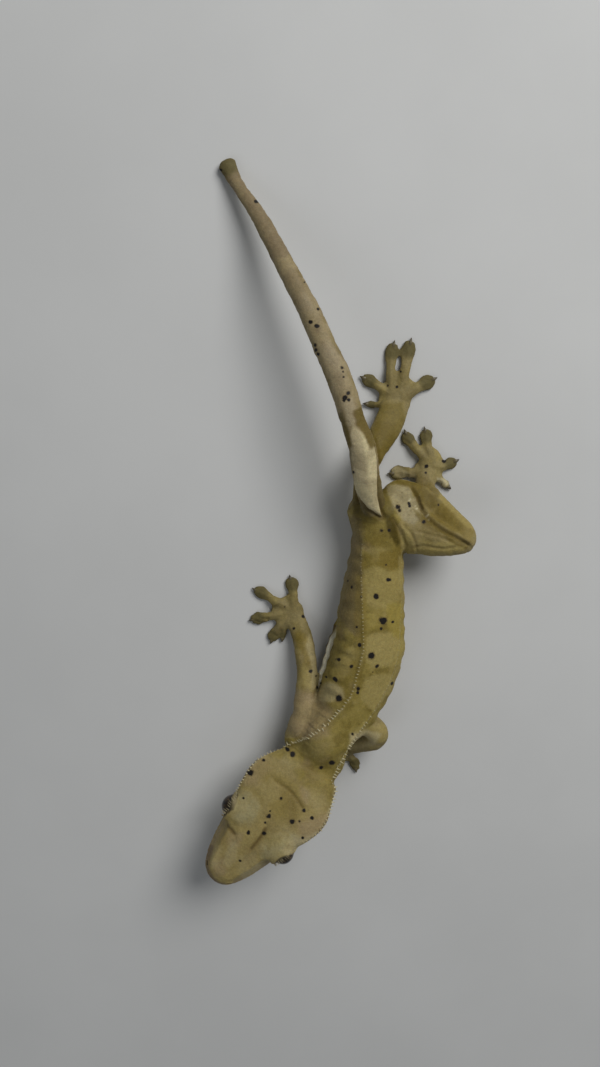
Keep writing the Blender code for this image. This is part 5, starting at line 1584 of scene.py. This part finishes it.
def raised_scales(roots, info):
    """Small domed scales of several sizes among the granules of the head, the back, the limbs and the tail."""
    rng = np.random.default_rng(13)
    co, n = roots.co, roots.normal
    h = info["h"]
    chance = 0.45 + 0.35 * info["head"] + 0.25 * step(-0.2, 0.5, info["up"])
    chance *= (info["pad"] < 0.3) & (n[:, 2] > -0.6) & (co[:, 2] > 0.5)
    ex, ey, ez = EYE_PLACE
    eye = np.linalg.norm(np.stack([h[:, 0] - ex, np.abs(h[:, 1]) - ey, h[:, 2] - ez], 1), axis=1)
    chance *= (eye > EYE_RADIUS + 0.35) | (info["head"] < 0.5)
    # the head's points lie closer together
    chance *= 1 - 0.7 * info["head"]
    picked = rng.choice(len(co), 16000, replace=False, p=chance / chance.sum())
    grid, keep, size = {}, [], []
    for i in picked:
        big = 0.080 + 0.060 * rng.random() ** 2 * (1 + 0.5 * info["head"][i])
        c = tuple(np.floor(co[i] / 0.6).astype(int))
        near = [j for dx in (-1, 0, 1) for dy in (-1, 0, 1) for dz in (-1, 0, 1) for j in grid.get((c[0] + dx, c[1] + dy, c[2] + dz), ())]
        if any(np.linalg.norm(co[i] - co[j]) < 1.3 * (big + s) + 0.06 for j, s in near):
            continue
        grid.setdefault(c, []).append((i, big))
        keep.append(i)
        size.append(big)
        if len(keep) >= 6500:
            break
    keep, size = np.array(keep), np.array(size)
    feet, nn = co[keep], n[keep]
    values = {k: m[keep].copy() for k, m in roots.masks.items()}
    k = (rng.random(len(keep)) ** 3)[:, None] * 0.22
    values["tint"] = values["tint"] * (1 - k) + np.array(CREAM) * k
    out = nn * (size * 0.38)[:, None]
    return studs("raised_scales", feet, nn, out, size, ((0.60, 0.78),), 7, 0.30, values)


def claws():
    """The small hooked claws, one to a toe."""
    bm = bmesh.new()
    for name, toes in TOES.items():
        for start, bend, pad, claw, wide in toes:
            p2, p3 = seen(*pad, 0.55), seen(*claw, 0.55)
            t = CLAW_THICKNESS
            long = float(np.linalg.norm(p3 - p2))
            way = (p3 - p2) / long
            tip = p2 + way * min(long - 0.15, 0.42 * long + 1.02)
            a = p2 + (tip - p2) * 0.44 + np.array([0, 0, 0.12])
            b = p2 + (tip - p2) * 0.64 + np.array([0, 0, 0.22])
            c = p2 + (tip - p2) * 0.85 + np.array([0, 0, 0.10])
            d = tip + np.array([0, 0, -0.22])
            tube(bm, [(*a, 1.7 * t, 1.2 * t, 1.2 * t, 0), (*b, 1.20 * t, 1.0 * t, 1.0 * t, 0), (*c, 0.62 * t, 0.64 * t, 0.6 * t, 0), (*d, 0.16 * t, 0.2 * t, 0.2 * t, 0)], steps=5, sides=12)
    bmesh.ops.recalc_face_normals(bm, faces=bm.faces)
    for v in bm.verts:
        v.co *= MM
    o = put(bm, "claws")
    # how far out along its claw each point is, for the colour
    co = points(o) / MM
    out = np.zeros(len(co))
    best = np.full(len(co), 1e9)
    for toes in TOES.values():
        for _, _, pad, claw, _ in toes:
            a, b = seen(*pad, 0.6), seen(*claw, 0.55)
            t = np.clip(((co - a) @ (b - a)) / ((b - a) @ (b - a)), 0, 1.1)
            d = np.linalg.norm(co - (a + t[:, None] * (b - a)), axis=1)
            near = d < best
            best[near], out[near] = d[near], t[near]
    give(o.data, "out", out)
    o.data.shade_smooth()
    return o


def eye(name, side):
    """An eyeball with a clear bulging front, its iris and slit pupil told by each point's own place on it."""
    x, y, z = EYE_PLACE
    centre = in_head(x, side * y, z)
    look = HEAD_AXES @ np.array([0.20, side * 0.97, 0.14])
    look /= np.linalg.norm(look)
    up = HEAD_AXES[:, 2] - look * (HEAD_AXES[:, 2] @ look)
    up /= np.linalg.norm(up)
    ahead = np.cross(up, look) * side
    bm = bmesh.new()
    bmesh.ops.create_uvsphere(bm, u_segments=128, v_segments=72, radius=1.0)
    o = put(bm, name)
    p = points(o)  # z is the way it looks, x ahead, y up
    away = np.degrees(np.arccos(np.clip(p[:, 2], -1, 1)))
    radius = EYE_RADIUS * (0.985 + 0.035 * step(52, 10, away))
    set_points(o, (centre + (p[:, :1] * ahead + p[:, 1:2] * up + p[:, 2:] * look) * radius[:, None]) * MM)
    for key, value in (("ahead", p[:, 0]), ("high", p[:, 1]), ("out", p[:, 2])):
        give(o.data, key, value)
    bm = bmesh.new()
    bm.from_mesh(o.data)
    bmesh.ops.recalc_face_normals(bm, faces=bm.faces)
    bm.to_mesh(o.data)
    bm.free()
    o.data.shade_smooth()
    return o


# -------------------------------------------------------------- materials
class Finish:
    """A material whose nodes are put together one by one."""

    def __init__(self, name, roughness=0.6, **sockets):
        self.material = bpy.data.materials.new(name)
        self.material.use_nodes = True
        self.tree = self.material.node_tree
        self.shader = self.tree.nodes["Principled BSDF"]
        self.shader.inputs["Roughness"].default_value = roughness
        for key, value in sockets.items():
            self.shader.inputs[key].default_value = value
        self.place = self.node("ShaderNodeTexCoord").outputs["Object"]

    def node(self, kind, **settings):
        n = self.tree.nodes.new(kind)
        for key, value in settings.items():
            setattr(n, key, value)
        return n

    def give(self, socket, value):
        if hasattr(value, "is_output"):
            self.tree.links.new(value, socket)
        elif isinstance(value, tuple) and len(value) == 3:
            socket.default_value = (*value, 1.0) if socket.type == "RGBA" else value
        else:
            socket.default_value = value

    def mask(self, name):
        return self.node("ShaderNodeAttribute", attribute_name=name).outputs["Fac"]

    def noise(self, size, detail=3.0, rough=0.55, stretch=None):
        n = self.node("ShaderNodeTexNoise")
        self.give(n.inputs["Vector"], self.scaled(stretch) if stretch else self.place)
        n.inputs["Scale"].default_value = 1.0 / (size * MM)
        n.inputs["Detail"].default_value = detail
        n.inputs["Roughness"].default_value = rough
        return n.outputs["Fac"]

    def scaled(self, by):
        n = self.node("ShaderNodeMapping")
        self.give(n.inputs["Vector"], self.place)
        n.inputs["Scale"].default_value = by
        return n.outputs["Vector"]

    def cells(self, size, feature="F1", output="Distance", random=0.9):
        n = self.node("ShaderNodeTexVoronoi", feature=feature)
        self.give(n.inputs["Vector"], self.place)
        n.inputs["Scale"].default_value = 1.0 / (size * MM)
        n.inputs["Randomness"].default_value = random
        return n.outputs[output]

    def math(self, kind, a, b=0.0, clamp=False):
        n = self.node("ShaderNodeMath", operation=kind, use_clamp=clamp)
        self.give(n.inputs[0], a)
        self.give(n.inputs[1], b)
        return n.outputs[0]

    def ramp(self, value, low, high, out_low=0.0, out_high=1.0):
        n = self.node("ShaderNodeMapRange", interpolation_type="SMOOTHSTEP")
        self.give(n.inputs["Value"], value)
        for key, v in (("From Min", low), ("From Max", high), ("To Min", out_low), ("To Max", out_high)):
            n.inputs[key].default_value = v
        return n.outputs["Result"]

    def mix(self, factor, a, b, kind="MIX"):
        n = self.node("ShaderNodeMix", data_type="RGBA", blend_type=kind, clamp_factor=True)
        self.give(n.inputs["Factor"], factor)
        self.give(n.inputs[6], a)
        self.give(n.inputs[7], b)
        return n.outputs[2]

    def tone(self, colour, value):
        """The colour made lighter or darker by a number around 1."""
        n = self.node("ShaderNodeVectorMath", operation="SCALE")
        self.give(n.inputs[0], colour)
        self.give(n.inputs["Scale"], value)
        return n.outputs[0]

    def bump(self, height, distance, strength=1.0, after=None):
        n = self.node("ShaderNodeBump")
        n.inputs["Distance"].default_value = distance * MM
        n.inputs["Strength"].default_value = strength
        self.give(n.inputs["Height"], height)
        if after is not None:
            self.give(n.inputs["Normal"], after)
        return n.outputs["Normal"]

    def done(self, colour, normal=None, roughness=None):
        self.give(self.shader.inputs["Base Color"], colour)
        if normal is not None:
            self.give(self.shader.inputs["Normal"], normal)
        if roughness is not None:
            self.give(self.shader.inputs["Roughness"], roughness)
        return self.material


def skin_finish(name, granules=1.0):
    f = Finish(name, 0.55)
    f.shader.inputs["Specular IOR Level"].default_value = 0.26
    f.shader.inputs["Subsurface Weight"].default_value = 0.08
    f.shader.inputs["Subsurface Radius"].default_value = (0.0011, 0.0006, 0.0003)
    f.shader.inputs["Subsurface Scale"].default_value = 1.0
    colour = f.node("ShaderNodeAttribute", attribute_name="tint").outputs["Color"]
    # cloudy at the size of a few granules
    cloud = f.noise(0.7, 4.0, 0.6)
    colour = f.tone(colour, f.ramp(cloud, 0.25, 0.75, 0.90, 1.10))
    # each granule a little lighter or darker than the next, with darker skin between
    shade = f.node("ShaderNodeSeparateColor")
    f.give(shade.inputs[0], f.cells(0.27, output="Color"))
    far = f.cells(0.27)
    grain = f.math("ADD", f.math("MULTIPLY", shade.outputs[0], 0.12), 0.95)
    grain = f.math("MULTIPLY", grain, f.ramp(far, 0.40, 0.75, 1.0, 0.90))
    colour = f.tone(colour, grain)
    # black spots, ragged along the granules
    dark = f.math("ADD", f.mask("dark"), f.math("MULTIPLY", f.math("SUBTRACT", f.noise(0.30, 2.0), 0.5), 0.55))
    colour = f.mix(f.ramp(dark, -0.60, 0.05, 0.0, 0.60), colour, BROWN)
    colour = f.mix(f.ramp(dark, -0.10, 0.16), colour, BLACK)
    normal = f.bump(f.ramp(far, 0.70, 0.05), 0.042, 0.7 * granules)
    normal = f.bump(f.noise(0.16, 3.0, 0.6), 0.02, 0.35, normal)
    rough = f.math("ADD", f.ramp(far, 0.1, 0.6, 0.50, 0.64), f.math("MULTIPLY", f.mask("pad"), 0.14))
    return f.done(colour, normal, rough)


def claw_finish():
    f = Finish("claw", 0.48)
    f.shader.inputs["Coat Weight"].default_value = 0.1
    f.shader.inputs["Coat Roughness"].default_value = 0.2
    streak = f.noise(0.5, 3.0)
    colour = f.mix(f.ramp(f.mask("out"), 0.35, 0.85), (0.105, 0.084, 0.036), (0.040, 0.030, 0.016))
    colour = f.tone(colour, f.math("ADD", f.math("MULTIPLY", streak, 0.5), 0.75))
    return f.done(colour, f.bump(streak, 0.02, 0.5))


def eye_finish():
    f = Finish("eye", 0.14)
    f.shader.inputs["Coat Weight"].default_value = 0.22
    f.shader.inputs["Coat Roughness"].default_value = 0.06
    f.shader.inputs["Specular IOR Level"].default_value = 0.22
    ahead, high, out = f.mask("ahead"), f.mask("high"), f.mask("out")
    radial = f.math("SQRT", f.math("ADD", f.math("MULTIPLY", ahead, ahead), f.math("MULTIPLY", high, high)))
    turn = f.math("ARCTAN2", high, ahead)
    # fine veins that run out from the pupil
    place = f.node("ShaderNodeCombineXYZ")
    f.give(place.inputs[0], f.math("MULTIPLY", turn, 5.0))
    f.give(place.inputs[1], f.math("MULTIPLY", radial, 2.5))
    veins = f.node("ShaderNodeTexNoise")
    f.give(veins.inputs["Vector"], place.outputs[0])
    veins.inputs["Scale"].default_value = 1.6
    veins.inputs["Detail"].default_value = 6.0
    veins.inputs["Roughness"].default_value = 0.65
    veins.inputs["Distortion"].default_value = 0.6
    gold = f.ramp(veins.outputs["Fac"], 0.48, 0.70)
    colour = f.mix(gold, (0.018, 0.012, 0.007), (0.115, 0.071, 0.030))
    colour = f.mix(f.ramp(radial, 0.62, 0.86), colour, (0.02, 0.013, 0.008))
    # the upright slit with its four scallops to each side
    wave = f.math("MULTIPLY", f.math("ABSOLUTE", f.math("SINE", f.math("MULTIPLY", high, 11.0))), 0.05)
    taper = f.ramp(f.math("ABSOLUTE", high), 0.30, 0.68, 0.15, 0.0)
    slit = f.math("SUBTRACT", f.math("ABSOLUTE", ahead), f.math("ADD", taper, f.math("MULTIPLY", wave, f.ramp(taper, 0.0, 0.06))))
    pupil = f.math("MULTIPLY", f.ramp(slit, 0.02, -0.015), f.ramp(out, 0.0, 0.2))
    colour = f.mix(pupil, colour, (0.003, 0.0025, 0.002))
    return f.done(colour)


def floor_finish():
    f = Finish("floor", 0.85)
    f.shader.inputs["Specular IOR Level"].default_value = 0.2
    colour = f.mix(f.ramp(f.noise(60.0, 4.0), 0.3, 0.7, 0.0, 1.0), (0.60, 0.605, 0.60), (0.63, 0.635, 0.63))
    return f.done(colour, f.bump(f.noise(1.2, 4.0), 0.03, 0.3))


# ---------------------------------------------------------------- the animal
skin = raw_skin()
finer_head(skin)
soften_neck(skin)
surface = Surface(skin)
lines = place_all(surface)
co, normal = points(skin), normals(skin)
info = describe(co, normal, lines)
co = shape(co, normal, info, lines)
co[:, 2] = np.maximum(co[:, 2], 0.0)
set_points(skin, co)
normal = normals(skin)
info["up"] = normal[:, 2]
masks = markings(co, normal, info, lines, surface)
roots = Roots(skin, co, normal, masks)
Atlas.shared = Atlas()
crest = crest_points(roots, lines)
lash = lashes(roots)
scales = raised_scales(roots, info)
nails = claws()
eyes = [eye("eyeball_left", 1), eye("eyeball_right", -1)]

for key, value in masks.items():
    give(skin.data, key, value)
set_points(skin, co * MM)
skin.data.shade_smooth()
skin.data.materials.clear()
finish = skin_finish("gecko_skin")
skin.data.materials.append(finish)
soft = skin_finish("gecko_points", 0.5)
for o in (crest, lash, scales):
    o.data.materials.append(soft)
nails.data.materials.append(claw_finish())
shine = eye_finish()
for o in eyes:
    o.data.materials.append(shine)

flesh = [n for n in frame["nodes"] if not n.startswith("eye_")]
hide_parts(*flesh)
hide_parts("eye_left")
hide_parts("eye_right")
for o, slot in ((skin, "skin"), (crest, "pale"), (lash, "pale"), (scales, "skin"), (nails, "pad"), (eyes[0], "eye"), (eyes[1], "eye")):
    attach(o, "root")

# -------------------------------------------------------------- floor, light, camera
bm = bmesh.new()
bmesh.ops.create_grid(bm, x_segments=1, y_segments=1, size=4.0, matrix=Matrix.Translation((0, 0, -0.00003)))
floor = put(bm, "floor")
floor.data.materials.append(floor_finish())


def area_light(name, place, aim, size, watts, colour=(1, 1, 1)):
    light = bpy.data.lights.new(name, "AREA")
    light.shape = "DISK"
    light.size = size
    light.energy = watts
    light.color = colour
    o = bpy.data.objects.new(name, light)
    o.location = place
    o.rotation_euler = (Vector(aim) - Vector(place)).to_track_quat("-Z", "Y").to_euler()
    bpy.context.scene.collection.objects.link(o)


area_light("key", (0.27, 0.36, 0.42), (0, 0, 0), 0.36, 2.75, (1.0, 0.99, 0.97))
area_light("fill", (-0.35, -0.30, 0.50), (0, 0, 0), 0.40, 0.32, (0.96, 0.98, 1.0))

world = bpy.data.worlds.new("soft")
bpy.context.scene.world = world
world.use_nodes = True
world.node_tree.nodes["Background"].inputs[0].default_value = (0.92, 0.96, 1.0, 1.0)
world.node_tree.nodes["Background"].inputs[1].default_value = 0.15

camera = bpy.data.cameras.new("camera")
camera.sensor_fit = "VERTICAL"
camera.sensor_height = 24.0
camera.lens = 24.0 * EYE_STEPS / 1067.0
camera.clip_start = 0.001
view = bpy.data.objects.new("camera", camera)
view.location = EYE_OVER * MM
view.rotation_euler = (-EYE_TILT, 0, 0)
bpy.context.scene.collection.objects.link(view)
bpy.context.scene.camera = view
bpy.context.scene.view_settings.view_transform = "Standard"
